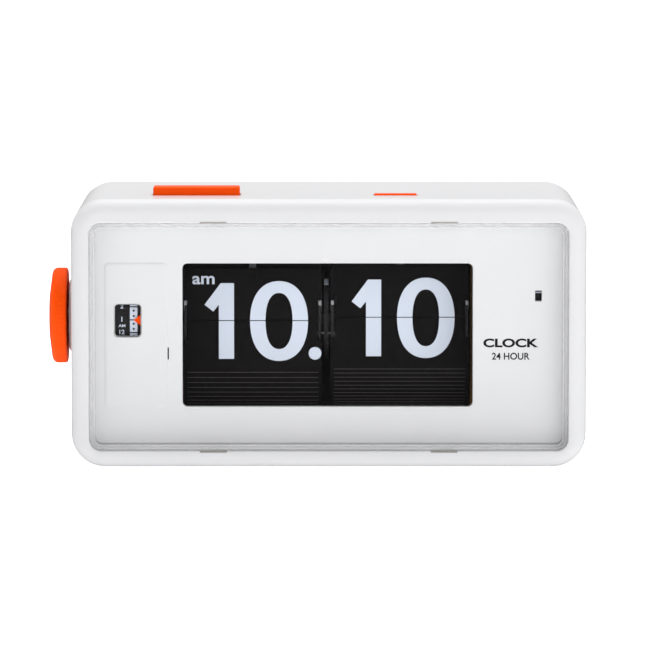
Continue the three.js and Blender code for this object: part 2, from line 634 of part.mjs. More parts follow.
// ---------- springs ----------
// An upright coil of round wire, standing on its lower end.
function coil(radius, height) {
  const { wire, turns, sides, steps } = SPRING;
  const count = turns * steps;
  const points = [];
  const faces = [];
  for (let i = 0; i <= count; i++) {
    const turn = (2 * Math.PI * i) / steps;
    const rise = wire + ((height - 2 * wire) * i) / count;
    for (let j = 0; j < sides; j++) {
      const round = (2 * Math.PI * j) / sides;
      const out = radius + wire * Math.cos(round);
      points.push(out * Math.cos(turn), out * Math.sin(turn), rise + wire * Math.sin(round));
      if (i < count) {
        const a = i * sides + j;
        const b = i * sides + ((j + 1) % sides);
        faces.push(a, a + sides, b, b, a + sides, b + sides);
      }
    }
  }
  for (let j = 1; j < sides - 1; j++) {
    faces.push(0, j, j + 1, count * sides, count * sides + j + 1, count * sides + j);
  }
  const geometry = new THREE.BufferGeometry();
  geometry.setAttribute("position", new THREE.Float32BufferAttribute(points, 3));
  geometry.setIndex(faces);
  return solid(geometry);
}

// ---------- top buttons ----------
// A cap with a flange under the case's top wall, so that it can't come out.
function buttonCap({ width, depth, proud }) {
  const under = CASE.wall + GAP;
  return joined(
    block(-width / 2, width / 2, 0, depth, -under - 0.2, proud),
    block(-width / 2 - 1.5, width / 2 + 1.5, -1, depth + 1, -under - 1.6, -under));
}
const springTop = CASE.height - CASE.wall - GAP - 1.6 - GAP;
const springHeight = springTop - (FRAME.top + GAP);
place(clock, "alarm_button", buttonCap(TOP_BUTTON), orange,
  TOP_BUTTON.x, TOP_BUTTON.front, CASE.height);
place(clock, "alarm_button_spring", coil(3, springHeight), steel,
  TOP_BUTTON.x, TOP_BUTTON.front + 5.5, FRAME.top + GAP);
place(clock, "light_button", buttonCap(LIGHT_BUTTON), orange,
  LIGHT_BUTTON.x, LIGHT_BUTTON.front, CASE.height);
place(clock, "light_button_spring", coil(1.5, springHeight), steel,
  LIGHT_BUTTON.x - 4.5, LIGHT_BUTTON.front + 3.6, FRAME.top + GAP);

// ---------- alarm switch and its flag ----------
// The flag shows in the small window; its rod runs back to the switch in the rear cover.
function flag() {
  const y = FACE_BACK + 0.5;
  return joined(
    block(-2.2, 2.2, y, y + 0.8, -7, 3),
    block(-0.8, 0.8, y, COVER_FRONT - 0.5, -0.8, 0.8));
}
function switchKnob() {
  return joined(
    block(-1.2, 1.2, COVER_FRONT - 0.2, COVER_BACK + 1, -1.2, 1.2),
    block(-3, 3, COVER_BACK + GAP, COVER_BACK + 1.9, -2.8, 2.8));
}
place(clock, "alarm_flag", flag(), blackPlastic, SWITCH.x, 0, SWITCH.z);
place(clock, "alarm_switch", switchKnob(), blackPlastic, SWITCH.x, 0, SWITCH.z);

// ---------- power, light and sound ----------
function cell() {
  const half = CELL.length / 2;
  return joined(barX(CELL.radius - 0.4, -half, half, 0, 0, 32), barX(4.5, half, half + 1.5));
}
place(clock, "battery_cell", cell(), steel, 0, CELL.y, CELL.z);
const cellEnd = CELL.length / 2 + GAP;
const contact = (x) => block(x, x + 0.5, -6, 6, -8, 8);
place(clock, "battery_contact_plus", contact(cellEnd + 1.5), steel, 0, CELL.y, CELL.z);
place(clock, "battery_contact_minus", contact(-cellEnd - 0.5), steel, 0, CELL.y, CELL.z);
place(clock, "circuit_board", block(-12, 12, 0, 1.5, -20, 20), board, GRILLE.x, 30, GRILLE.z);
place(clock, "alarm_sounder", barY(11, 0, 5, 0, 0, 28), blackPlastic,
  GRILLE.x, COVER_FRONT - GAP - 5, GRILLE.z);
place(clock, "display_lamp", barZ(1.6, -6, 0, 0, 0, 16), clear, LIGHT_BUTTON.x + 10, -29, 84);

export default clock;
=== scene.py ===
# %% [markdown]
# A flip number alarm clock: a white moulded case with an orange side knob and two orange buttons.
# Behind a clear tray lens, black split leaves hang on two drums and show the hours and minutes.
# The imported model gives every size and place. This script gives each visible piece its finished
# shape and its material, and leaves the working parts where the frame has them.

import json
import math

import bmesh
import bpy
from mathutils import Matrix, Vector


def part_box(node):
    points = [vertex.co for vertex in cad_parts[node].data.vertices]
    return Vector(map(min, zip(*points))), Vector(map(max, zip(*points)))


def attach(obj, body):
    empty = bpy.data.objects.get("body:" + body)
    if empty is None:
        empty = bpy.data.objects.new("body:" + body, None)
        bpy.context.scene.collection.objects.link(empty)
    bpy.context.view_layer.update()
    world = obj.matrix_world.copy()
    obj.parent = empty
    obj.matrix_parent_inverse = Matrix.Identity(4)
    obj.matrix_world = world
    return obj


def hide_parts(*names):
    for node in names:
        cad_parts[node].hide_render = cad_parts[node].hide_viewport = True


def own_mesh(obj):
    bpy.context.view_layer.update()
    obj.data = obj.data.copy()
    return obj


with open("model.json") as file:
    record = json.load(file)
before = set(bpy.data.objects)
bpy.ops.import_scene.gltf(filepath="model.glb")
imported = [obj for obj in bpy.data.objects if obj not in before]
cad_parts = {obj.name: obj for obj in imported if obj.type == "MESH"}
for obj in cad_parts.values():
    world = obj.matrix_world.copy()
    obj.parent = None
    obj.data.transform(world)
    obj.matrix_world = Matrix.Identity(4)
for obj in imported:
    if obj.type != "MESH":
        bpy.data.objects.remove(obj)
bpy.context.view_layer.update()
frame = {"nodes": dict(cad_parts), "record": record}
NODES = frame["nodes"]


# %% [markdown]
# Lengths are easiest to read in millimetres, and Blender works in metres, so one small function
# turns them. A node's box gives its lowest and highest corner, and most sizes below come from one.

# %% Units and measures
def mm(value):
    return value / 1000


def extent(node):
    """The low corner, high corner, middle and size of a node's box."""
    low, high = (Vector(corner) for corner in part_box(node))
    return low, high, (low + high) / 2, high - low


_, _, CASE_MID, CASE_SIZE = extent("rear_cover")
LENS_LOW, _, LENS_MID, LENS_SIZE = extent("front_lens")
SHELL_LOW, SHELL_HIGH, _, _ = extent("case_housing")
WALL = mm(2.6)
GAP = mm(0.3)
COVER_GAP = WALL + GAP  # from the case's outside to the rear cover's edge
CASE_WIDTH = CASE_SIZE.x + 2 * COVER_GAP
CASE_HEIGHT = CASE_SIZE.z + 2 * COVER_GAP
CASE_FRONT, CASE_BACK = SHELL_LOW.y, SHELL_HIGH.y
print("case (mm):", round(CASE_WIDTH * 1000, 1), round(CASE_HEIGHT * 1000, 1))


# %% [markdown]
# Moulded plastic is never one flat colour. Its gloss wanders a little, its surface is very
# slightly uneven, and light dust and handling leave fine dull specks. One node group holds that
# effect, and each plastic places it with its own scale and strength.

# %% Surface effect shared by the plastics
def new_group(name, inputs, outputs):
    """An empty shader group with named float inputs and outputs."""
    group = bpy.data.node_groups.new(name, "ShaderNodeTree")
    for label, value in inputs.items():
        socket = group.interface.new_socket(label, in_out="INPUT", socket_type="NodeSocketFloat")
        socket.default_value = value
    for label in outputs:
        group.interface.new_socket(label, in_out="OUTPUT", socket_type="NodeSocketFloat")
    return group, group.nodes.new("NodeGroupInput"), group.nodes.new("NodeGroupOutput")


def math_node(tree, operation, first, second):
    """A maths node fed by sockets or plain numbers. Returns its output."""
    node = tree.nodes.new("ShaderNodeMath")
    node.operation = operation
    for socket, value in zip(node.inputs, (first, second)):
        if hasattr(value, "links"):
            tree.links.new(value, socket)
        else:
            socket.default_value = value
    return node.outputs[0]


def noise(tree, coordinates, scale, detail):
    """A noise texture on the given coordinates. Returns its value, from 0 to 1."""
    node = tree.nodes.new("ShaderNodeTexNoise")
    node.inputs["Detail"].default_value = detail
    tree.links.new(coordinates, node.inputs["Vector"])
    if hasattr(scale, "links"):
        tree.links.new(scale, node.inputs["Scale"])
    else:
        node.inputs["Scale"].default_value = scale
    return node.outputs[0]


def moulded_surface():
    group, given, result = new_group(
        "moulded_surface",
        {"Scale": 900.0, "Roughness": 0.4, "Wander": 0.08, "Dust": 0.3},
        ("Roughness", "Height", "Tint"),
    )
    where = group.nodes.new("ShaderNodeTexCoord").outputs["Object"]
    broad = noise(group, where, 28.0, 2.0)
    fine = noise(group, where, given.outputs["Scale"], 3.0)
    swing = math_node(
        group, "MULTIPLY", math_node(group, "SUBTRACT", broad, 0.5), given.outputs["Wander"])
    rough = math_node(group, "ADD", given.outputs["Roughness"], swing)
    specks = group.nodes.new("ShaderNodeMapRange")
    specks.inputs["From Min"].default_value = 0.62
    specks.inputs["From Max"].default_value = 0.78
    group.links.new(fine, specks.inputs["Value"])
    dusty = math_node(group, "MULTIPLY", specks.outputs[0], given.outputs["Dust"])
    group.links.new(math_node(group, "ADD", rough, dusty), result.inputs["Roughness"])
    group.links.new(fine, result.inputs["Height"])
    group.links.new(math_node(group, "ADD", broad, dusty), result.inputs["Tint"])
    return group


SURFACE = moulded_surface()
print("group:", SURFACE.name)


# %% [markdown]
# Every material starts from the same Principled shader. The plastics mix two close tints with the
# group's slow variation, and read its roughness and its fine height. Numbers that are the same all
# over, such as the coat or the index of refraction, are set on the shader itself.

# %% Material builders
def shader(name, colour, roughness, **values):
    """A new material and its Principled shader, with plain values set by socket name."""
    material = bpy.data.materials.new(name)
    material.use_nodes = True
    principled = material.node_tree.nodes["Principled BSDF"]
    principled.inputs["Base Color"].default_value = (*colour, 1)
    principled.inputs["Roughness"].default_value = roughness
    for label, value in values.items():
        principled.inputs[label.replace("_", " ")].default_value = value
    return material, principled


def plastic(
        name, colour, other, roughness, scale=900.0, wander=0.08, dust=0.0, bump=0.02, **values):
    """A moulded plastic between two close colours."""
    material, principled = shader(name, colour, roughness, **values)
    tree = material.node_tree
    surface = tree.nodes.new("ShaderNodeGroup")
    surface.node_tree = SURFACE
    for label, value in (
        ("Scale", scale), ("Roughness", roughness), ("Wander", wander), ("Dust", dust),
    ):
        surface.inputs[label].default_value = value
    mix = tree.nodes.new("ShaderNodeMix")
    mix.data_type = "RGBA"
    mix.inputs["A"].default_value = (*colour, 1)
    mix.inputs["B"].default_value = (*other, 1)
    height = tree.nodes.new("ShaderNodeBump")
    height.inputs["Strength"].default_value = bump
    height.inputs["Distance"].default_value = mm(0.05)
    tree.links.new(surface.outputs["Tint"], mix.inputs["Factor"])
    tree.links.new(mix.outputs["Result"], principled.inputs["Base Color"])
    tree.links.new(surface.outputs["Roughness"], principled.inputs["Roughness"])
    tree.links.new(surface.outputs["Height"], height.inputs["Height"])
    tree.links.new(height.outputs["Normal"], principled.inputs["Normal"])
    return material


# %% Materials
white_shell = plastic(
    "white_shell", (0.665, 0.665, 0.677), (0.66, 0.66, 0.671), 0.3, wander=0.015, bump=0.01,
    Coat_Weight=0.25, Coat_Roughness=0.12)
white_face = plastic(
    "white_face", (0.74, 0.74, 0.745), (0.733, 0.733, 0.738), 0.55, scale=1800.0, dust=0.02,
    bump=0.03)
orange_plastic = plastic(
    "orange_plastic", (0.95, 0.082, 0.0012), (0.90, 0.068, 0.001), 0.45, dust=0.03, bump=0.02,
    Specular_IOR_Level=0.07)
leaf_black = plastic(
    "leaf_black", (0.0085, 0.0075, 0.008), (0.0075, 0.0065, 0.007), 0.42, scale=2600.0, wander=0.1,
    dust=0.03, bump=0.04, Specular_IOR_Level=0.12)
numeral_white = plastic(
    "numeral_white", (0.70, 0.76, 0.87), (0.67, 0.735, 0.85), 0.5, scale=2600.0, bump=0.02)
black_plastic = plastic(
    "black_plastic", (0.012, 0.012, 0.013), (0.018, 0.018, 0.02), 0.5, dust=0.06)
disc_grey = plastic("disc_grey", (0.030, 0.029, 0.031), (0.026, 0.025, 0.027), 0.45, dust=0.05)
amber_plastic = plastic(
    "amber_plastic", (0.36, 0.16, 0.022), (0.30, 0.13, 0.018), 0.4, dust=0.04,
    Transmission_Weight=0.2)
nylon = plastic("nylon", (0.76, 0.72, 0.62), (0.70, 0.66, 0.56), 0.45)
foot_rubber = plastic("foot_rubber", (0.025, 0.025, 0.026), (0.04, 0.04, 0.04), 0.85, dust=0.1)
board_green = plastic("board_green", (0.02, 0.13, 0.05), (0.03, 0.17, 0.07), 0.5, dust=0.05)
battery_jacket = plastic("battery_jacket", (0.02, 0.022, 0.03), (0.03, 0.032, 0.04), 0.3)
print("plastics:", len(bpy.data.materials))


# %% [markdown]
# Metals inside the clock are plain drawn wire, cut brass and plated screws. A brushed look comes
# from noise stretched along one axis by a Mapping node. The lens and lamp are clear acrylic: a
# shadow ray passes straight through them, as most light does through a thin clear tray.

# %% Metals and clear plastic
def metal(name, colour, roughness, stretch):
    """A metal with a fine brushed grain, long in the direction where stretch is small."""
    material, principled = shader(name, colour, roughness, Metallic=1.0)
    tree = material.node_tree
    mapping = tree.nodes.new("ShaderNodeMapping")
    mapping.inputs["Scale"].default_value = stretch
    where = tree.nodes.new("ShaderNodeTexCoord").outputs["Object"]
    tree.links.new(where, mapping.inputs["Vector"])
    grain = noise(tree, mapping.outputs[0], 1.0, 3.0)
    spread = math_node(tree, "MULTIPLY", math_node(tree, "SUBTRACT", grain, 0.5), 0.25)
    tree.links.new(math_node(tree, "ADD", spread, roughness), principled.inputs["Roughness"])
    return material


def clear_plastic(name, colour, roughness, index):
    """Clear plastic that lets shadow rays and soft bounced light straight through."""
    material, principled = shader(
        name, colour, roughness, Transmission_Weight=1.0, IOR=index)
    tree = material.node_tree
    output = tree.nodes["Material Output"]
    straight = tree.nodes.new("ShaderNodeBsdfTransparent")
    rays = tree.nodes.new("ShaderNodeLightPath")
    mix = tree.nodes.new("ShaderNodeMixShader")
    soft = math_node(
        tree, "MAXIMUM", rays.outputs["Is Shadow Ray"], rays.outputs["Is Diffuse Ray"])
    tree.links.new(soft, mix.inputs[0])
    tree.links.new(principled.outputs[0], mix.inputs[1])
    tree.links.new(straight.outputs[0], mix.inputs[2])
    tree.links.new(mix.outputs[0], output.inputs["Surface"])
    return material


steel = metal("steel", (0.55, 0.56, 0.58), 0.28, (200, 4000, 4000))
brass = metal("brass", (0.60, 0.42, 0.17), 0.3, (4000, 900, 900))
clear_lens = clear_plastic("clear_lens", (0.985, 0.99, 0.995), 0.01, 1.49)
lamp_glass = clear_plastic("lamp_glass", (1.0, 0.97, 0.9), 0.05, 1.45)


# %% [markdown]
# A finished piece keeps its object at the origin. One function closes a bmesh into an object and
# another smooths the shallow angles, keeps the steep ones sharp, and makes it ride on its body.
# Where it stands for a node of the frame, that node is hidden and still collides. One table gives
# the finish of every slot, and another lists the slot of every finish, where a finish without a
# slot of its own is listed under a near one.

# %% Finishing a piece
FINISHES = {
    "white_shell": white_shell, "white_face": white_face, "clear_lens": clear_lens,
    "lamp": lamp_glass, "orange_plastic": orange_plastic, "leaf_black": leaf_black,
    "black_plastic": black_plastic, "disc_grey": disc_grey, "amber_plastic": amber_plastic,
    "steel": steel, "battery_jacket": battery_jacket, "brass": brass, "nylon": nylon,
    "board_green": board_green, "foot_rubber": foot_rubber,
}
SLOT_OF = {material: slot for slot, material in FINISHES.items()}
SLOT_OF[numeral_white] = "leaf_black"


def bare_piece(name, shape, material, smooth_below=32):
    """Turns a bmesh into an object at the origin, with one material."""
    bmesh.ops.remove_doubles(shape, verts=shape.verts, dist=1e-7)
    bmesh.ops.recalc_face_normals(shape, faces=shape.faces)
    mesh = bpy.data.meshes.new(name)
    shape.to_mesh(mesh)
    shape.free()
    mesh.shade_smooth()
    mesh.set_sharp_from_angle(angle=math.radians(smooth_below))
    made = bpy.data.objects.new(name, mesh)
    bpy.context.scene.collection.objects.link(made)
    made.data.materials.append(material)
    return made


def settle(made, body, *nodes):
    """Makes a piece ride on a body and stand for nodes."""
    made.data.shade_smooth()
    made.data.set_sharp_from_angle(angle=math.radians(32))
    shading = made.modifiers.new("flat_faces_stay_flat", "WEIGHTED_NORMAL")
    shading.keep_sharp = True
    shading.weight = 100
    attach(made, body)
    if nodes:
        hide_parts(*nodes)
    return made


def carve(made, cutters):
    """Cuts the cutters out of a piece and removes them."""
    for cutter in cutters:
        modifier = made.modifiers.new(cutter.name, "BOOLEAN")
        modifier.operation = "DIFFERENCE"
        modifier.solver = "EXACT"
        modifier.object = cutter
    depsgraph = bpy.context.evaluated_depsgraph_get()
    result = bpy.data.meshes.new_from_object(made.evaluated_get(depsgraph))
    made.modifiers.clear()
    made.data = result
    for cutter in cutters:
        bpy.data.objects.remove(cutter)
    return made


# %% [markdown]
# Most mouldings here are rounded rectangles seen from the front. One loop of that shape comes from
# a flat square, scaled to size and turned upright, whose four corners are bevelled. Loops of the
# same point count at different depths are bridged into a wall, and the last ones are filled.

# %% Rounded loops
CORNER_STEPS = 10
UPRIGHT = Matrix.Rotation(math.radians(90), 3, "X")


def stand_up(shape, verts):
    """Turns what lies flat at the origin upright, to face the front."""
    bmesh.ops.rotate(shape, cent=(0, 0, 0), matrix=UPRIGHT, verts=verts)


def rounded_loop(shape, width, height, radius, x, y, z, steps=CORNER_STEPS):
    """The edges of an upright rounded rectangle, with its middle at x, y, z."""
    made = bmesh.ops.create_grid(shape, x_segments=1, y_segments=1, size=0.5)["verts"]
    bmesh.ops.scale(shape, vec=(width, height, 1), verts=made)
    stand_up(shape, made)
    bmesh.ops.translate(shape, vec=(x, y, z), verts=made)
    result = bmesh.ops.bevel(
        shape, geom=made, offset=radius, segments=steps, profile=0.5, affect="VERTICES",
        material=-1)
    face = result["verts"][0].link_faces[0]
    edges = list(face.edges)
    bmesh.ops.delete(shape, geom=[face], context="FACES_ONLY")
    return edges


DRAFT = mm(0.08)  # a step in depth between nested loops, so that a bridge knows its direction


def bridged(shape, loops, closed=False):
    """Walls between each loop and the next."""
    pairs = list(zip(loops, loops[1:]))
    if closed:
        pairs.append((loops[-1], loops[0]))
    for first, second in pairs:
        bmesh.ops.bridge_loops(shape, edges=first + second)


def capped(shape, loops):
    """Walls through the loops, and a flat face across the first and the last."""
    bridged(shape, loops)
    for loop in (loops[0], loops[-1]):
        bmesh.ops.contextual_create(shape, geom=loop)


def box_shape(low, high, rounding=0.0, steps=3):
    """A bmesh block between two corners, with all its edges rounded."""
    shape = bmesh.new()
    made = bmesh.ops.create_cube(shape, size=1)["verts"]
    bmesh.ops.scale(shape, vec=Vector(high) - Vector(low), verts=made)
    bmesh.ops.translate(shape, vec=(Vector(high) + Vector(low)) / 2, verts=made)
    if rounding:
        bmesh.ops.bevel(
            shape, geom=shape.edges[:], offset=rounding, segments=steps, profile=0.5,
            affect="EDGES", material=-1)
    return shape


def cylinder_shape(radius, start, end, sides=64, rounding=0.0):
    """A bmesh cylinder between two points, with its rims rounded."""
    shape = bmesh.new()
    start, end = Vector(start), Vector(end)
    along = end - start
    bmesh.ops.create_cone(
        shape, cap_ends=True, segments=sides, radius1=radius, radius2=radius,
        depth=along.length)
    if rounding:
        rims = [e for f in shape.faces if len(f.verts) > 4 for e in f.edges]
        bmesh.ops.bevel(
            shape, geom=rims, offset=rounding, segments=3, profile=0.5, affect="EDGES",
            material=-1)
    turn = Vector((0, 0, 1)).rotation_difference(along).to_matrix()
    bmesh.ops.rotate(shape, cent=(0, 0, 0), matrix=turn, verts=shape.verts)
    bmesh.ops.translate(shape, vec=(start + end) / 2, verts=shape.verts)
    return shape


def cylinder_along_x(radius, start, end, middle, **options):
    """A cylinder from one x to another, round a line through the middle."""
    return cylinder_shape(
        radius, (start, middle.y, middle.z), (end, middle.y, middle.z), **options)


# %% [markdown]
# The case is one injection moulding, open at the back, with a large radius round its front edge
# and a square opening for the lens. It is a lathe-like stack of loops: up the outside, round the
# edge, across the rim, down the opening and back along the inside wall. The holes for the buttons
# and the knob's shaft are cut afterwards.

# %% Case
CASE_CORNER, CASE_EDGE = mm(12), mm(5)
EDGE_STEPS = 8
OPENING_X, OPENING_Z = LENS_SIZE.x + 2 * GAP, mm(82)
OPENING_CORNER = mm(4.3)
LENS_Z = LENS_MID.z
_, FACE_HIGH, _, FACE_SIZE = extent("face_plate")
FACE_BACK = FACE_HIGH.y
FACE_FRONT = FACE_BACK - mm(2.2)
RIM_ROUND = mm(0.5)


def case_shell():
    shape = bmesh.new()
    x, z = CASE_MID.x, CASE_MID.z

    def outer(inset, y):
        return rounded_loop(
            shape, CASE_WIDTH - 2 * inset, CASE_HEIGHT - 2 * inset,
            max(CASE_CORNER - inset, mm(0.5)), x, y, z)

    def opening(grow, y):
        return rounded_loop(
            shape, OPENING_X + 2 * grow, OPENING_Z + 2 * grow, OPENING_CORNER + grow, x, y, LENS_Z)

    loops = [outer(mm(0.6), CASE_BACK), outer(0, CASE_BACK - mm(0.6))]
    for step in range(EDGE_STEPS + 1):
        angle = math.pi / 2 * step / EDGE_STEPS
        loops.append(outer(
            CASE_EDGE * (1 - math.cos(angle)), CASE_FRONT + CASE_EDGE * (1 - math.sin(angle))))
    for step in range(4):
        angle = math.pi / 2 * step / 3
        loops.append(opening(
            RIM_ROUND * (1 - math.sin(angle)),
            CASE_FRONT + DRAFT + RIM_ROUND * (1 - math.cos(angle))))
    loops += [
        opening(0, FACE_FRONT - GAP), outer(WALL, FACE_FRONT - GAP + DRAFT),
        outer(WALL, CASE_BACK - DRAFT)]
    bridged(shape, loops, closed=True)
    return bare_piece("case", shape, white_shell)


case = case_shell()
print("case faces:", len(case.data.polygons))


# %% [markdown]
# Cutting blocks for the case's holes come from the pieces that pass through them, grown by the
# running gap. The shaft of the knob leaves through a round boss on the left side. Four shallow
# slots in the opening's edge are where the lens clips are pried free.

# %% Holes and boss in the case
CAP_DEPTHS = {"alarm_button": mm(11), "light_button": mm(5)}
CAP_FLANGE = mm(1.5)  # how far a button's flange runs past its cap at each end
KNOB_LOW, KNOB_HIGH, KNOB_MID, KNOB_SIZE = extent("alarm_knob")
CASE_LEFT = CASE_MID.x - CASE_WIDTH / 2
CASE_TOP = CASE_MID.z + CASE_HEIGHT / 2
CASE_BOTTOM = CASE_MID.z - CASE_HEIGHT / 2
HOLE_BELOW, HIGH_ABOVE = mm(2), mm(8)  # how far a button's hole runs past its cap
SHAFT_HOLE, BOSS_RADIUS = mm(2.9), mm(13)
CLIP_X, CLIP_WIDTH, CLIP_DEPTH = mm(41.4), mm(9.6), mm(2.4)
CLIPS = [(side, end) for side in (-1, 1) for end in (-1, 1)]
CLIP_SLOT = Vector((CLIP_WIDTH / 2, mm(3), mm(0.35)))  # half of a pry slot's size


def cap_box(node):
    """The low and high corner of the part of a top button that shows."""
    low, high, _, _ = extent(node)
    return (
        Vector((low.x + CAP_FLANGE, low.y + mm(1), CASE_TOP - mm(3))),
        Vector((high.x - CAP_FLANGE, low.y + mm(1) + CAP_DEPTHS[node], high.z)),
    )


def cutter(low, high):
    return bare_piece("cutter", box_shape(low, high), white_shell)


margin = Vector((GAP, GAP, 0))
holes = []
for node in CAP_DEPTHS:
    low, high = cap_box(node)
    holes.append(cutter(
        low - margin - Vector((0, 0, HOLE_BELOW)), high + margin + Vector((0, 0, HIGH_ABOVE))))
shaft_hole = cylinder_along_x(SHAFT_HOLE, CASE_LEFT - mm(5), CASE_LEFT + mm(5), KNOB_MID)
holes.append(bare_piece("cutter", shaft_hole, white_shell))
for side, end in CLIPS:
    edge = LENS_Z + end * (OPENING_Z / 2 + mm(0.2))
    middle = Vector((LENS_MID.x + side * CLIP_X, CASE_FRONT + mm(1.5), edge))
    holes.append(cutter(middle - CLIP_SLOT, middle + CLIP_SLOT))
carve(case, holes)
settle(case, "clock_case", "case_housing")

boss_shape = cylinder_along_x(
    BOSS_RADIUS, SHELL_LOW.x, CASE_LEFT + mm(0.3), KNOB_MID, rounding=mm(0.4))
boss = bare_piece("knob_boss", boss_shape, white_shell)
bore = cylinder_along_x(SHAFT_HOLE, SHELL_LOW.x - mm(2), CASE_LEFT + mm(2), KNOB_MID)
carve(boss, [bare_piece("cutter", bore, white_shell)])
settle(boss, "clock_case")
print("case after cutting:", len(case.data.polygons))


# %% [markdown]
# The lens is a shallow tray of clear acrylic, open at the back, with a sloped front edge that
# catches the light. Four clips hold it, two above and two below, and the grey hook of each shows in
# its slot in the rim. The wall is real, so the edge bends what is behind it as thick acrylic does.

# %% Lens
LENS_CORNER, LENS_SLOPE = mm(4), mm(1.8)
LENS_THICK = mm(2)
LENS_BACK = FACE_FRONT - GAP


def lens_tray():
    shape = bmesh.new()
    x, z = LENS_MID.x, LENS_Z
    height = OPENING_Z - 2 * GAP

    def loop(inset, y):
        return rounded_loop(
            shape, LENS_SIZE.x - 2 * inset, height - 2 * inset, LENS_CORNER - inset, x, y, z)

    front = LENS_LOW.y
    loops = [
        loop(LENS_SLOPE, front + LENS_THICK), loop(LENS_SLOPE, LENS_BACK),
        loop(0, LENS_BACK - DRAFT),
        loop(0, front + LENS_SLOPE), loop(mm(0.15), front + LENS_SLOPE - mm(0.25)),
        loop(LENS_SLOPE - mm(0.25), front + mm(0.15)), loop(LENS_SLOPE, front),
    ]
    capped(shape, loops)
    return bare_piece("lens", shape, clear_lens)


clip_grey = plastic(
    "clip_grey", (0.36, 0.335, 0.32), (0.33, 0.305, 0.29), 0.5, scale=1800.0, bump=0.03)
SLOT_OF[clip_grey] = "white_shell"
CLIP_HALF = Vector((CLIP_WIDTH / 2, CLIP_DEPTH / 2, mm(0.6)))
HOOK_HALF = Vector((CLIP_WIDTH / 2 - mm(0.05), mm(1), mm(0.25)))
settle(lens_tray(), "clock_case", "front_lens")
for side, end in CLIPS:
    edge = LENS_Z + end * (OPENING_Z / 2 - GAP)
    middle = Vector((LENS_MID.x + side * CLIP_X, LENS_BACK + CLIP_DEPTH / 2, edge))
    name = f"lens_clip_{'left' if side < 0 else 'right'}_{'low' if end < 0 else 'high'}"
    block = box_shape(middle - CLIP_HALF, middle + CLIP_HALF, mm(0.2))
    settle(bare_piece(name, block, clear_lens), "clock_case")
    edge = LENS_Z + end * (OPENING_Z / 2 + mm(0.22))
    middle = Vector((LENS_MID.x + side * CLIP_X, CASE_FRONT + mm(1.7), edge))
    block = box_shape(middle - HOOK_HALF, middle + HOOK_HALF)
    settle(bare_piece(f"{name}_hook", block, clip_grey), "clock_case")
print("lens (mm):", [round(v * 1000, 1) for v in LENS_SIZE])


# %% [markdown]
# The face is a thin matt plate with three windows. Round the alarm window lies a shallow raised
# panel with soft edges, and at the panel's right edge a short black film paints the shade of a
# slot.
# Each window's edge is slightly rounded, which draws a fine light line along it.

# %% Face plate
def window(x, z, width, height, corner):
    """A rounded outline on the face, in millimetres from the clock's own zero."""
    return {
        "x": mm(x), "z": mm(z), "width": mm(width), "height": mm(height), "corner": mm(corner)}


DISPLAY = window(-0.4, 47.05, 104.4, 51.7, 1.8)
ALARM = window(-72.3, 52.3, 9.3, 11.4, 1.2)
FLAG = window(75.4, 61.2, 2.4, 3.8, 0.3)
PANEL = window(-69.35, 47, 22.7, 52.2, 1.5)
# The outline of a black film that paints the shade of a slot; nothing is cut there.
PRY_SLOT_SHADE = window(-57.75, 40.4, 0.5, 4.4, 0.2)
FACE_CORNER = mm(8.5)
FROM_CLOCK = Vector((CASE_MID.x, 0, CASE_BOTTOM))  # the clock's own zero, at the case's middle


def window_loop(shape, spec, grow, y):
    return rounded_loop(
        shape, spec["width"] + 2 * grow, spec["height"] + 2 * grow,
        spec["corner"] + max(grow, 0), spec["x"] + FROM_CLOCK.x, y,
        spec["z"] + FROM_CLOCK.z, steps=6)


def window_cutter(spec):
    """A plug with a flared front, which leaves the window's edge rounded."""
    shape = bmesh.new()
    round_edge = mm(0.35)
    loops = [window_loop(shape, spec, mm(0.8), FACE_FRONT - mm(2))]
    loops.append(window_loop(shape, spec, round_edge, FACE_FRONT))
    for step in range(1, 4):
        angle = math.pi / 2 * step / 3
        loops.append(window_loop(
            shape, spec, round_edge * (1 - math.sin(angle)),
            FACE_FRONT + round_edge * (1 - math.cos(angle))))
    loops.append(window_loop(shape, spec, 0, FACE_BACK + mm(1)))
    capped(shape, loops)
    return bare_piece("cutter", shape, white_face)


def face_plate():
    shape = bmesh.new()
    x, z = CASE_MID.x, CASE_MID.z
    width, height = FACE_SIZE.x, FACE_SIZE.z
    loops = [
        rounded_loop(shape, width, height, FACE_CORNER, x, FACE_FRONT, z),
        rounded_loop(shape, width, height, FACE_CORNER, x, FACE_BACK, z)]
    capped(shape, loops)
    return bare_piece("face", shape, white_face)


def raised_panel():
    shape = bmesh.new()
    rise = mm(0.3)
    loops = [window_loop(shape, PANEL, 0, FACE_FRONT + mm(0.2))]
    for step in range(6):
        angle = math.pi / 2 * step / 5
        loops.append(window_loop(
            shape, PANEL, -mm(1.4) * (1 - math.cos(angle)), FACE_FRONT - rise * math.sin(angle)))
    capped(shape, loops)
    return bare_piece("alarm_panel", shape, white_face)


face = carve(face_plate(), [window_cutter(w) for w in (DISPLAY, ALARM, FLAG)])
settle(face, "clock_case", "face_plate")
panel = carve(raised_panel(), [window_cutter(ALARM)])
settle(panel, "clock_case")
# A thin black film, flush with the face, paints the shade of a slot at the panel's right edge.
pry_slot_shade = bmesh.new()
capped(pry_slot_shade, [
    window_loop(pry_slot_shade, PRY_SLOT_SHADE, 0, y) for y in (FACE_FRONT + mm(0.2), FACE_FRONT - mm(0.03))])
settle(bare_piece("panel_slot_painted_shade", pry_slot_shade, black_plastic), "clock_case")
print("face at y (mm):", round(FACE_FRONT * 1000, 2))


# %% [markdown]
# The knob is a shallow turned disc with a fine straight knurl round its rim and a softly domed
# outer face. Its outline is spun round the shaft. The knurl is a shallow pull on every other
# column of rim points, so it is real relief that catches the light.

# %% Alarm knob
KNOB_TURN_STEPS = 144
KNURL = mm(0.22)


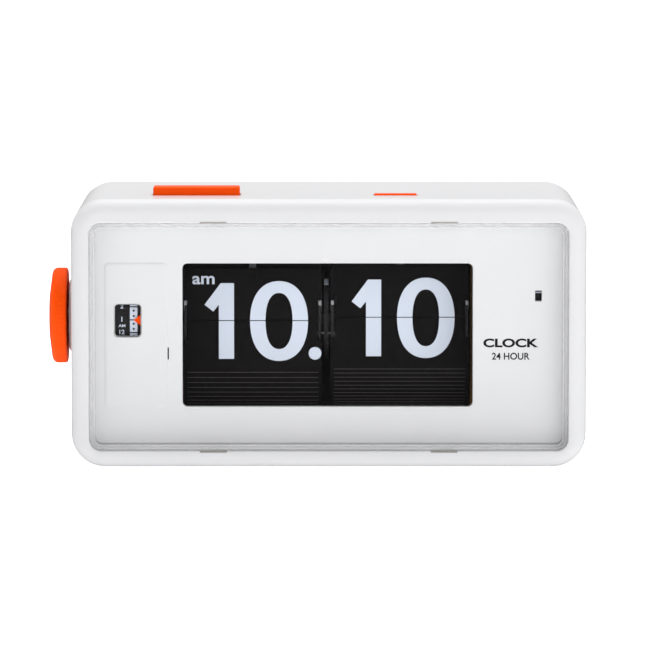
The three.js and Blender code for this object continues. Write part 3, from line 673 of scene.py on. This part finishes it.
def knob_shape():
    shape = bmesh.new()
    radius = KNOB_SIZE.z / 2
    inner, outer = KNOB_HIGH.x, KNOB_LOW.x
    rim = mm(3.6)
    outline = [(0, inner), (radius - mm(0.5), inner), (radius, inner - mm(0.5))]
    outline.append((radius, inner - rim))
    for step in range(1, 7):
        angle = math.pi / 2 * step / 6
        outline.append((
            radius * (0.86 + 0.14 * math.cos(angle)), inner - rim - mm(2.0) * math.sin(angle)))
    outline.append((radius * 0.5, outer + mm(0.35)))
    outline.append((0, outer))
    verts = [shape.verts.new((x, KNOB_MID.y, KNOB_MID.z + r)) for r, x in outline]
    edges = [shape.edges.new(pair) for pair in zip(verts, verts[1:])]
    bmesh.ops.spin(
        shape, geom=verts + edges, cent=KNOB_MID, axis=(1, 0, 0), angle=2 * math.pi,
        steps=KNOB_TURN_STEPS, use_merge=True)
    bmesh.ops.remove_doubles(shape, verts=shape.verts, dist=mm(0.001))
    for vert in shape.verts:
        arm = Vector((0, vert.co.y - KNOB_MID.y, vert.co.z - KNOB_MID.z))
        turn = round(math.atan2(arm.y, arm.z) / (2 * math.pi) * KNOB_TURN_STEPS)
        if arm.length > radius - mm(0.01) and turn % 2:
            vert.co -= arm.normalized() * KNURL
    return shape


knob = settle(
    bare_piece("knob", knob_shape(), orange_plastic), "alarm_time_knob", "alarm_knob")
print("knob faces:", len(knob.data.polygons))


# %% [markdown]
# The two top buttons are plain caps with rounded edges. Only the cap shows, so its flange under
# the case is left to the frame's own hidden solid.

# %% Top buttons
for node, body in (("alarm_button", "alarm_press"), ("light_button", "light_press")):
    low, high = cap_box(node)
    cap = bare_piece(f"{node}_cap", box_shape(low, high, mm(0.5), 4), orange_plastic)
    settle(cap, body, node)
print("buttons done")


# %% [markdown]
# Under each button stands a coil spring. It is a round wire spun up a helix.

# %% Button springs
WIRE, SPRING_TURNS, SPRING_STEPS, WIRE_SIDES = mm(0.35), 4, 24, 10


def coil_shape(low, high):
    shape = bmesh.new()
    middle = (low + high) / 2
    out = (high.x - low.x) / 2 - WIRE
    wire = bmesh.ops.create_circle(
        shape, cap_ends=True, segments=WIRE_SIDES, radius=WIRE)["verts"]
    stand_up(shape, wire)
    start = Vector((middle.x + out, middle.y, low.z + WIRE))
    bmesh.ops.translate(shape, vec=start, verts=wire)
    steps = SPRING_TURNS * SPRING_STEPS
    rise = (high.z - low.z - 2 * WIRE) / steps
    bmesh.ops.spin(
        shape, geom=shape.verts[:] + shape.edges[:] + shape.faces[:], cent=(middle.x, middle.y, 0),
        axis=(0, 0, 1), dvec=(0, 0, rise), angle=2 * math.pi * SPRING_TURNS, steps=steps)
    bmesh.ops.remove_doubles(shape, verts=shape.verts, dist=mm(0.001))
    bmesh.ops.recalc_face_normals(shape, faces=shape.faces)
    return shape


TRAVELS = {"alarm_button": mm(2.5), "light_button": mm(1)}
for button, travel in TRAVELS.items():
    low, high, middle, size = extent(f"{button}_spring")
    coil = bare_piece(f"{button}_coil", coil_shape(low, high), steel)
    settle(coil, "clock_case", f"{button}_spring")
    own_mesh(coil)
    print(coil.name, "height (mm):", round(size.z * 1000, 2))


# %% [markdown]
# The display is two stacks of thin split leaves. The standing leaf shows the upper half of its
# numerals, the fallen leaf below it the lower half. Behind each lie the waiting and the fallen
# leaves, each hinged a little further round the drum, so their edges step up and down like stairs.
# One leaf is a thin plate with a notch at each hinge end, built once and placed in a loop.

# %% One leaf
LEAF_WIDTH, LEAF_HEIGHT, LEAF_THICK = mm(50), mm(19), mm(0.4)
LEAF_NOTCH, NOTCH_HEIGHT, SETBACK = mm(1.5), mm(7.3), mm(0.45)
SPLIT = mm(0.15)
PIN_CIRCLE = mm(15)
_, _, AXLE_MID, _ = extent("drum_axle")
UNITS = {
    "hour": {"x": mm(-27.5) + FROM_CLOCK.x, "first": 0.0, "leaves": 48},
    "minute": {"x": mm(25.7) + FROM_CLOCK.x, "first": math.radians(4.6), "leaves": 60},
}
SIDEWAYS = {"left": -1, "right": 1}


def hinge_at(angle):
    """The point on the drum's pin circle at an angle above the front."""
    return Vector((
        0, AXLE_MID.y - PIN_CIRCLE * math.cos(angle), AXLE_MID.z + PIN_CIRCLE * math.sin(angle)))


def leaf_shape(shape, x, y, hinge_z, up, height=LEAF_HEIGHT):
    """Adds one notched leaf with rounded free corners. up is 1 or -1."""
    narrow, wide = LEAF_WIDTH / 2 - LEAF_NOTCH, LEAF_WIDTH / 2
    outline = [
        (-narrow, SPLIT), (narrow, SPLIT), (narrow, NOTCH_HEIGHT), (wide, NOTCH_HEIGHT),
        (wide, height), (-wide, height), (-wide, NOTCH_HEIGHT), (-narrow, NOTCH_HEIGHT)]
    verts = [shape.verts.new((x + px, y, hinge_z + up * pz)) for px, pz in outline]
    face = shape.faces.new(verts)
    rounded = bmesh.ops.bevel(
        shape, geom=[verts[4], verts[5]], offset=mm(1.0), segments=5, profile=0.5,
        affect="VERTICES", material=-1)
    face = rounded["verts"][0].link_faces[0]
    pushed = bmesh.ops.extrude_face_region(shape, geom=[face])["geom"]
    moved = [g for g in pushed if isinstance(g, bmesh.types.BMVert)]
    bmesh.ops.translate(shape, vec=(0, LEAF_THICK, 0), verts=moved)


def standing_front(unit):
    """Where the front of a unit's standing leaf lies."""
    return hinge_at(unit["first"]).y + SETBACK - LEAF_THICK / 2


def stack_y(unit, up, count):
    """The front of each leaf in a stack, stepping back as the hinges go round the drum."""
    first = hinge_at(unit["first"])
    y = standing_front(unit) + (2 * LEAF_THICK if up > 0 else 0)
    pitch = 2 * math.pi / unit["leaves"]
    places = [(y, first.z)]
    for step in range(1, count):
        pin = hinge_at(unit["first"] + up * step * pitch)
        y = max(y + 1.6 * LEAF_THICK, pin.y)
        places.append((y, pin.z))
    return places


def merged(shapes):
    """One bmesh holding all of the given ones."""
    whole = bmesh.new()
    for shape in shapes:
        mesh = bpy.data.meshes.new("part")
        shape.to_mesh(mesh)
        shape.free()
        whole.from_mesh(mesh)
        bpy.data.meshes.remove(mesh)
    return whole


for label, unit in UNITS.items():
    first = hinge_at(unit["first"])
    shape = bmesh.new()
    leaf_shape(shape, unit["x"], standing_front(unit), first.z, 1)
    settle(
        bare_piece(f"{label}_leaf", shape, leaf_black), f"{label}_leaf", f"{label}_leaf_standing")
    for up, name, count in ((1, "upper", 9), (-1, "fallen", 11)):
        shape = bmesh.new()
        for y, hinge_z in stack_y(unit, up, count):
            leaf_shape(shape, unit["x"], y, hinge_z, up)
        stack = bare_piece(f"{label}_{name}_leaves", shape, leaf_black)
        settle(stack, "clock_case", f"{label}_leaves_{name}")
print("leaf height (mm):", LEAF_HEIGHT * 1000)


# %% [markdown]
# The cut edge of each fallen leaf is a little lighter than its face and catches the light. A narrow
# lighter film along each leaf's free end paints both, in part a painted highlight, and draws the
# stairs below the numerals. Grey bars beside the hinges, in the notches of the standing leaves, are
# painted highlights where the rims of the drum discs catch the light.

# %% Leaf edge highlights and disc rim highlights
# A lighter black that paints the highlight along each fallen leaf's free edge, in part the lighter
# cut edge itself.
leaf_edge_highlight = plastic(
    "leaf_edge_highlight", (0.085, 0.075, 0.08), (0.07, 0.062, 0.067), 0.4, scale=2600.0, wander=0.1,
    dust=0.03, bump=0.04, Specular_IOR_Level=0.2)
# A grey that paints the highlight where the drum discs' rims catch the light in the standing
# leaves' notches.
rim_highlight_grey = plastic(
    "rim_highlight_grey", (0.36, 0.36, 0.38), (0.32, 0.32, 0.34), 0.5, scale=2600.0, wander=0.1,
    dust=0.03, bump=0.04)
SLOT_OF.update({leaf_edge_highlight: "leaf_black", rim_highlight_grey: "disc_grey"})
EDGE_HEIGHT, EDGE_FILM = mm(0.2), mm(0.03)
RIM_HIGHLIGHT_WIDTH, RIM_HIGHLIGHT_LOW, RIM_HIGHLIGHT_HIGH = mm(1.1), mm(54.8), mm(58.6)
RIM_HIGHLIGHT_FRONT, RIM_HIGHLIGHT_BACK, RIM_HIGHLIGHT_INSET = mm(0.3), mm(0.05), mm(0.65)
EDGE_INSET, EDGE_RAISE = mm(1.2), mm(0.05)
for label, unit in UNITS.items():
    edges = []
    half = LEAF_WIDTH / 2 - EDGE_INSET
    for y, hinge_z in stack_y(unit, -1, 11):
        low = hinge_z - LEAF_HEIGHT
        edges.append(box_shape(
            (unit["x"] - half, y - EDGE_FILM, low + EDGE_RAISE),
            (unit["x"] + half, y + EDGE_FILM, low + EDGE_RAISE + EDGE_HEIGHT)))
    settle(bare_piece(f"{label}_leaf_edge_highlights", merged(edges), leaf_edge_highlight), "clock_case")
    # Grey bars beside each hinge, painted as the lit rims of the drum discs.
    rim_highlights = []
    for side in SIDEWAYS.values():
        x = unit["x"] + side * (LEAF_WIDTH / 2 - RIM_HIGHLIGHT_INSET)
        y = stack_y(unit, 1, 2)[0][0]
        rim_highlights.append(box_shape(
            (x - RIM_HIGHLIGHT_WIDTH / 2, y - RIM_HIGHLIGHT_FRONT, RIM_HIGHLIGHT_LOW),
            (x + RIM_HIGHLIGHT_WIDTH / 2, y - RIM_HIGHLIGHT_BACK, RIM_HIGHLIGHT_HIGH)))
    settle(bare_piece(f"{label}_disc_rim_highlights", merged(rim_highlights), rim_highlight_grey), "clock_case")


# %% [markdown]
# The numerals are screen-printed, so each is a film a few hundredths of a millimetre proud of its
# leaf. A one is a stem with a slanting flag. A nought is two nested rings, squared a little at its
# shoulders. Each numeral is made whole, cut at the split, and its halves go to their own leaves.

# %% Numerals
INK = mm(0.04)
SPLIT_GAP = mm(0.3)
RING_POINTS = 96


def thicken(shape, y):
    """Turns upright faces into a film whose front lies INK before y."""
    pushed = bmesh.ops.extrude_face_region(shape, geom=shape.faces[:])["geom"]
    moved = [g for g in pushed if isinstance(g, bmesh.types.BMVert)]
    bmesh.ops.translate(shape, vec=(0, y - INK, 0), verts=moved)
    front = set(moved)
    still = [v for v in shape.verts if v not in front]
    bmesh.ops.translate(shape, vec=(0, y + INK / 2, 0), verts=still)


def flat_one(shape, left, right, low, high, stem):
    """A one between its left and right edges, drawn at y = 0."""
    tall = high - low
    flag = right - left
    outline = [
        (right - stem, low), (right, low), (right, high), (right - 0.45 * flag, high),
        (left, high - 0.285 * tall), (left + 0.30 * flag, high - 0.375 * tall),
        (right - stem, high - 0.285 * tall)]
    shape.faces.new([shape.verts.new((x, 0, z)) for x, z in outline])


def oval(shape, x, z, width, height, square):
    """An upright oval loop, pushed out at its shoulders by the square amount."""
    made = bmesh.ops.create_circle(shape, segments=RING_POINTS, radius=0.5)["verts"]
    for vert in made:
        around = math.atan2(vert.co.y, vert.co.x)
        vert.co *= 1 + square * math.sin(2 * around) ** 2
    bmesh.ops.scale(shape, vec=(width, height, 1), verts=made)
    stand_up(shape, made)
    bmesh.ops.translate(shape, vec=(x, 0, z), verts=made)
    return list(dict.fromkeys(e for v in made for e in v.link_edges))


def flat_nought(shape, left, right, low, high, side, top):
    x, z = (left + right) / 2, (low + high) / 2
    outer = oval(shape, x, z, right - left, high - low, 0.035)
    inner = oval(shape, x, z, right - left - 2 * side, high - low - 2 * top, 0.045)
    bmesh.ops.bridge_loops(shape, edges=outer + inner)


def keep_half(shape, split, up):
    """Cuts flat upright faces at a height and keeps the half above or below."""
    bmesh.ops.bisect_plane(
        shape, geom=shape.verts[:] + shape.edges[:] + shape.faces[:],
        plane_co=(0, 0, split + up * SPLIT_GAP / 2), plane_no=(0, 0, -up), clear_outer=True)


def draw_hour(shape):
    x = FROM_CLOCK.x
    flat_one(shape, x + mm(-45.0), x + mm(-34.3), mm(37.45), mm(65.0), mm(5.5))
    flat_nought(shape, x + mm(-28.5), x + mm(-7.5), mm(36.7), mm(65.75), mm(5.6), mm(4.3))


def draw_minute(shape):
    x = FROM_CLOCK.x
    flat_one(shape, x + mm(8.3), x + mm(19.0), mm(38.4), mm(66.3), mm(5.5))
    flat_nought(shape, x + mm(24.75), x + mm(45.6), mm(37.75), mm(67.0), mm(5.6), mm(4.3))


def draw_dot(shape):
    made = bmesh.ops.create_circle(
        shape, cap_ends=True, segments=48, radius=mm(2.3))["verts"]
    stand_up(shape, made)
    bmesh.ops.translate(
        shape, vec=(FROM_CLOCK.x + mm(-4.95), 0, mm(39.45)), verts=made)


def draw_next_minute(shape):
    x = FROM_CLOCK.x
    for left in (mm(8.3), mm(29.8)):
        flat_one(shape, x + left, x + left + mm(10.7), mm(38.4), mm(66.3), mm(5.5))


def half_numerals(label, draw, up, y):
    """The upper or lower half of a unit's numerals, as a film before y."""
    shape = bmesh.new()
    draw(shape)
    keep_half(shape, hinge_at(UNITS[label]["first"]).z, up)
    if label == "hour" and up < 0:
        draw_dot(shape)
    thicken(shape, y)
    return shape


for label, draw in (("hour", draw_hour), ("minute", draw_minute)):
    for up, half, body in ((1, "upper", f"{label}_leaf"), (-1, "lower", "clock_case")):
        shape = half_numerals(label, draw, up, standing_front(UNITS[label]))
        settle(bare_piece(f"{label}_numerals_{half}", shape, numeral_white), body)
print("numerals printed")


# %% [markdown]
# A falling leaf carries the next numeral's lower half on its back, and uncovers its upper half on
# the first waiting leaf. There are two leaves for each hour, so the next hour leaf shows the same
# hour. The lower half is laid out as it lies when the leaf has fallen, then turned back up round
# the hinge, which mirrors it in the right way.

# %% Next numerals
for label, draw in (("hour", draw_hour), ("minute", draw_next_minute)):
    first = hinge_at(UNITS[label]["first"])
    waiting = half_numerals(label, draw, 1, stack_y(UNITS[label], 1, 1)[0][0])
    settle(bare_piece(f"{label}_next_upper", waiting, numeral_white), "clock_case")
    backs = half_numerals(label, draw, -1, first.y - SETBACK - LEAF_THICK / 2)
    bmesh.ops.rotate(
        backs, cent=first, matrix=Matrix.Rotation(math.pi, 3, "X"), verts=backs.verts)
    settle(bare_piece(f"{label}_next_lower", backs, numeral_white), f"{label}_leaf")
print("next numerals printed")


# %% [markdown]
# Small lettering is text turned into a mesh: the morning mark on the hour leaf, and the hours round
# the alarm drum. A text object is made, given a little weight, converted, stood upright and only
# then moved to its place, so that the finished object stays at the origin.

# %% Lettering
def word_shape(word, height, weight, stretch=1.0):
    """A bmesh of one word, upright at y = 0 and centred on x and z."""
    curve = bpy.data.curves.new(word, "FONT")
    curve.body = word
    curve.offset = weight
    curve.fill_mode = "FRONT"
    curve.resolution_u = 6
    curve.extrude = 0
    text = bpy.data.objects.new(word, curve)
    mesh = bpy.data.meshes.new_from_object(text)
    bpy.data.objects.remove(text)
    shape = bmesh.new()
    shape.from_mesh(mesh)
    bpy.data.meshes.remove(mesh)
    bmesh.ops.remove_doubles(shape, verts=shape.verts, dist=1e-6)
    low = Vector(min(v.co[i] for v in shape.verts) for i in range(3))
    high = Vector(max(v.co[i] for v in shape.verts) for i in range(3))
    scale = height / (high.y - low.y)
    bmesh.ops.translate(shape, vec=-(low + high) / 2, verts=shape.verts)
    bmesh.ops.scale(shape, vec=(scale * stretch, scale, 1), verts=shape.verts)
    stand_up(shape, shape.verts)
    return shape


morning = word_shape("am", mm(3.1), 0.019, 1.14)
bmesh.ops.translate(
    morning, vec=(FROM_CLOCK.x + mm(-45.35), 0, mm(66.1)), verts=morning.verts)
next_morning = morning.copy()
thicken(morning, standing_front(UNITS["hour"]))
settle(bare_piece("morning_mark", morning, numeral_white), "hour_leaf")
thicken(next_morning, stack_y(UNITS["hour"], 1, 1)[0][0])
settle(bare_piece("next_morning_mark", next_morning, numeral_white), "clock_case")


# %% [markdown]
# The alarm drum turns with the knob. Its black left side carries the hours of a whole day in white,
# and a white band beside it has a black line at each hour and two dots between. Each hour's tile
# is spun from one edge, and the numerals are wrapped round by turning each to its own angle.

# %% Alarm drum
DRUM_LOW, DRUM_HIGH, DRUM_MID, DRUM_SIZE = extent("alarm_drum")
DRUM_RADIUS = DRUM_SIZE.z / 2
HOURS = 24
HOUR_TURN = 2 * math.pi / HOURS
DRUM_SPLIT = FROM_CLOCK.x + mm(-71.6)  # where the black side meets the white
WHITE_END = FROM_CLOCK.x + mm(-68.9)
DRUM_PRINT = mm(0.03)  # how far the white and the marks stand off the black drum


def at_hour(count):
    """The turn about the drum's axis that brings the front to an hour line. Later hours lie up."""
    return Matrix.Rotation(-count * HOUR_TURN, 3, "X")


def drum_body():
    shape = cylinder_along_x(
        DRUM_RADIUS - DRUM_PRINT, DRUM_LOW.x, DRUM_HIGH.x, DRUM_MID, sides=96,
        rounding=mm(0.3))
    drum = bare_piece("alarm_day_drum", shape, black_plastic)
    hole = cylinder_along_x(mm(2.8), DRUM_LOW.x - mm(1), DRUM_HIGH.x + mm(1), DRUM_MID)
    return carve(drum, [bare_piece("cutter", hole, black_plastic)])


def hour_tiles():
    shape = bmesh.new()
    line = mm(0.42) / DRUM_RADIUS
    for hour in range(HOURS):
        ends = [
            shape.verts.new((x, DRUM_MID.y, DRUM_MID.z + DRUM_RADIUS))
            for x in (DRUM_SPLIT, WHITE_END)]
        edge = shape.edges.new(ends)
        turn = math.pi / 2 + hour * HOUR_TURN + line / 2
        bmesh.ops.rotate(
            shape, cent=DRUM_MID, matrix=Matrix.Rotation(turn, 3, "X"), verts=ends)
        bmesh.ops.spin(
            shape, geom=ends + [edge], cent=DRUM_MID, axis=(1, 0, 0),
            angle=HOUR_TURN - line, steps=5)
    return shape


def placed_on_drum(shape, x, raise_by, turn):
    """Moves an upright flat shape to the drum's front at x, then turns it round the drum."""
    bmesh.ops.translate(
        shape, vec=(x, DRUM_MID.y - DRUM_RADIUS - raise_by, DRUM_MID.z), verts=shape.verts)
    bmesh.ops.rotate(shape, cent=DRUM_MID, matrix=turn, verts=shape.verts)
    return shape


def hour_marks():
    words = []
    x = FROM_CLOCK.x + mm(-74.5)
    for hour in range(HOURS):
        shown = (hour + 12) % 12 or 12
        words.append(placed_on_drum(
            word_shape(str(shown), mm(1.75), 0.03), x, DRUM_PRINT, at_hour(hour - 0.95)))
        if shown == 12:
            half = "AM" if hour == 0 else "PM"
            words.append(placed_on_drum(
                word_shape(half, mm(1.0), 0.03, 1.3), x, DRUM_PRINT, at_hour(hour - 0.45)))
    return merged(words)


def hour_dots():
    dots = []
    x = (DRUM_SPLIT + WHITE_END) / 2
    for hour in range(HOURS):
        for share in (0.3, 0.7):
            dot = bmesh.new()
            bmesh.ops.create_circle(dot, cap_ends=True, segments=16, radius=mm(0.4))
            stand_up(dot, dot.verts)
            dots.append(placed_on_drum(dot, x, DRUM_PRINT, at_hour(hour + share)))
    return merged(dots)


settle(drum_body(), "alarm_time_knob", "alarm_drum")
tiles = bare_piece("alarm_hour_tiles", hour_tiles(), numeral_white)
settle(tiles, "alarm_time_knob")
settle(bare_piece("alarm_hour_marks", hour_marks(), numeral_white), "alarm_time_knob")
settle(bare_piece("alarm_half_dots", hour_dots(), black_plastic), "alarm_time_knob")
print("alarm drum radius (mm):", round(DRUM_RADIUS * 1000, 2))


# %% [markdown]
# Three small things finish the front. A two-line generic mark is printed right of the display. The
# seconds wheel carries two white marks on its rim, which pass in the gap between the stacks. The
# alarm flag has a light line near its top edge.

# %% Mark, seconds wheel and flag
black_ink = plastic(
    "black_ink", (0.012, 0.011, 0.012), (0.010, 0.009, 0.010), 0.5, scale=2600.0, wander=0.1,
    dust=0.02, bump=0.02, Specular_IOR_Level=0.2)
SLOT_OF[black_ink] = "black_plastic"
lines = []
for word, height, weight, stretch, z in (
        ("CLOCK", mm(3.2), 0.036, 1.38, mm(44.2)), ("24 HOUR", mm(2.55), 0.018, 0.94, mm(39.4))):
    line = word_shape(word, height, weight, stretch)
    bmesh.ops.translate(
        line, vec=(FROM_CLOCK.x + mm(65.5), 0, FROM_CLOCK.z + z), verts=line.verts)
    thicken(line, FACE_FRONT)
    lines.append(line)
settle(bare_piece("front_mark", merged(lines), black_ink), "clock_case")

WHEEL_LOW, WHEEL_HIGH, WHEEL_MID, WHEEL_SIZE = extent("seconds_wheel")
WHEEL_RADIUS = WHEEL_SIZE.z / 2
MARKS = 2
FIRST_MARK = math.radians(53.7)
marks = []
for count in range(MARKS):
    turn = FIRST_MARK + count * 2 * math.pi / MARKS
    mark = box_shape(
        (WHEEL_LOW.x + mm(0.1), WHEEL_MID.y - WHEEL_RADIUS - mm(0.04), WHEEL_MID.z - mm(1.6)),
        (WHEEL_HIGH.x - mm(0.1), WHEEL_MID.y - WHEEL_RADIUS + mm(0.2), WHEEL_MID.z + mm(1.6)))
    bmesh.ops.rotate(
        mark, cent=WHEEL_MID, matrix=Matrix.Rotation(-turn, 3, "X"), verts=mark.verts)
    marks.append(mark)
settle(bare_piece("seconds_marks", merged(marks), numeral_white), "seconds")

FLAG_LOW, FLAG_HIGH, _, _ = extent("alarm_flag")
line_x, line_z = FROM_CLOCK.x + FLAG["x"], FROM_CLOCK.z + FLAG["z"]
flag_line = box_shape(
    (line_x - mm(1.1), FLAG_LOW.y - mm(0.03), line_z + mm(0.85)),
    (line_x + mm(1.1), FLAG_LOW.y + mm(0.02), line_z + mm(1.25)))
settle(bare_piece("flag_line", flag_line, numeral_white), "alarm_slider")
print("seconds wheel radius (mm):", round(WHEEL_RADIUS * 1000, 2))
print("flag (mm):", [round(v * 1000, 2) for v in (*FLAG_LOW, *FLAG_HIGH)])


# %% [markdown]
# The working parts that stay as the frame has them only need their materials. Each node's slot
# name says which finish it takes.

# %% Materials on the frame's own nodes
for part in frame["record"]["subparts"]:
    NODES[part["node"]].material_slots[0].material = FINISHES[part["material_slot"]]


# %% [markdown]
# The clock stands on a plain white sweep. One wide mesh makes the floor, with a slight gloss that
# holds a faint reflection of the case.

# %% Floor
floor_shape = bmesh.new()
bmesh.ops.create_grid(floor_shape, x_segments=1, y_segments=1, size=30)
floor_material, floor_shader = shader(
    "studio_floor", (0.92, 0.92, 0.92), 0.34, Specular_IOR_Level=0.25,
    Emission_Color=(1, 1, 1, 1), Emission_Strength=0.62)
floor = bare_piece("studio_floor", floor_shape, floor_material)

# %% [markdown]
# The light is a bright, even studio. The side behind the camera is dark in mirror reflections only,
# so that the clear lens and the black leaves don't turn grey. The floor is dark in reflections for
# the same reason, and bright everywhere else.

# %% Lights
STUDIO_LEVEL = 0.58
CARD_LEVEL = 0.1
SOFT_LIGHTS = (
    ("key_above", (0.0, 0.35, 1.2), 1.0, 16.0),
    ("front_fill", (0.8, -1.6, 0.2), 1.4, 13.0),
)
world = bpy.data.worlds.new("studio")
bpy.context.scene.world = world
bpy.context.scene.view_settings.view_transform = "Standard"
world.use_nodes = True
air = world.node_tree
background = air.nodes["Background"]
background.inputs["Color"].default_value = (1, 1, 1, 1)
rays = air.nodes.new("ShaderNodeLightPath")
direction = air.nodes.new("ShaderNodeSeparateXYZ")
air.links.new(air.nodes.new("ShaderNodeTexCoord").outputs["Generated"], direction.inputs[0])
card = air.nodes.new("ShaderNodeMapRange")
card.interpolation_type = "SMOOTHSTEP"
for label, value in {
        "From Min": -0.95, "From Max": -0.35, "To Min": CARD_LEVEL, "To Max": 1.0}.items():
    card.inputs[label].default_value = value
air.links.new(direction.outputs["Y"], card.inputs["Value"])
not_mirrored = math_node(air, "SUBTRACT", 1.0, rays.outputs["Is Glossy Ray"])
seen = math_node(air, "MAXIMUM", card.outputs[0], not_mirrored)
air.links.new(math_node(air, "MULTIPLY", seen, STUDIO_LEVEL), background.inputs["Strength"])

floor_tree = floor_material.node_tree
floor_rays = floor_tree.nodes.new("ShaderNodeLightPath")
dark = floor_tree.nodes.new("ShaderNodeBsdfDiffuse")
dark.inputs["Color"].default_value = (0.04, 0.04, 0.04, 1)
choice = floor_tree.nodes.new("ShaderNodeMixShader")
floor_tree.links.new(
    math_node(floor_tree, "SUBTRACT", 1.0, floor_rays.outputs["Is Glossy Ray"]), choice.inputs[0])
floor_tree.links.new(dark.outputs[0], choice.inputs[1])
floor_tree.links.new(floor_shader.outputs[0], choice.inputs[2])
floor_tree.links.new(choice.outputs[0], floor_tree.nodes["Material Output"].inputs["Surface"])


def soft_light(name, place, size, power):
    """A square area light at a place, facing the clock's middle."""
    data = bpy.data.lights.new(name, "AREA")
    data.energy = power
    data.size = size
    light = bpy.data.objects.new(name, data)
    bpy.context.scene.collection.objects.link(light)
    light.location = place
    towards = CASE_MID - Vector(place)
    light.rotation_euler = towards.to_track_quat("-Z", "Y").to_euler()
    light.visible_glossy = False  # it lights the clock without a glare in the lens
    light.visible_transmission = False
    return light


for name, place, size, power in SOFT_LIGHTS:
    soft_light(name, place, size, power)

# %% [markdown]
# The camera stands two metres away, a little above the clock, with a long lens, so that the front
# is almost without perspective and only a sliver of the top shows.

# %% Camera
VIEW_X, VIEW_DISTANCE = mm(3.16), 2.0
EYE = Vector((VIEW_X, CASE_FRONT - VIEW_DISTANCE, mm(245)))
AIM = Vector((VIEW_X, CASE_FRONT, mm(52)))
FRAME_WIDTH = mm(232.83)  # how much of the clock's front plane is seen from side to side
camera_data = bpy.data.cameras.new("camera")
camera_data.sensor_width = 36
camera_data.lens = camera_data.sensor_width * (AIM - EYE).length / FRAME_WIDTH
camera_data.clip_end = 100
camera = bpy.data.objects.new("camera", camera_data)
camera.location = EYE
camera.rotation_euler = (AIM - EYE).to_track_quat("-Z", "Y").to_euler()
bpy.context.scene.collection.objects.link(camera)
bpy.context.scene.camera = camera
print("focal length (mm):", round(camera_data.lens))
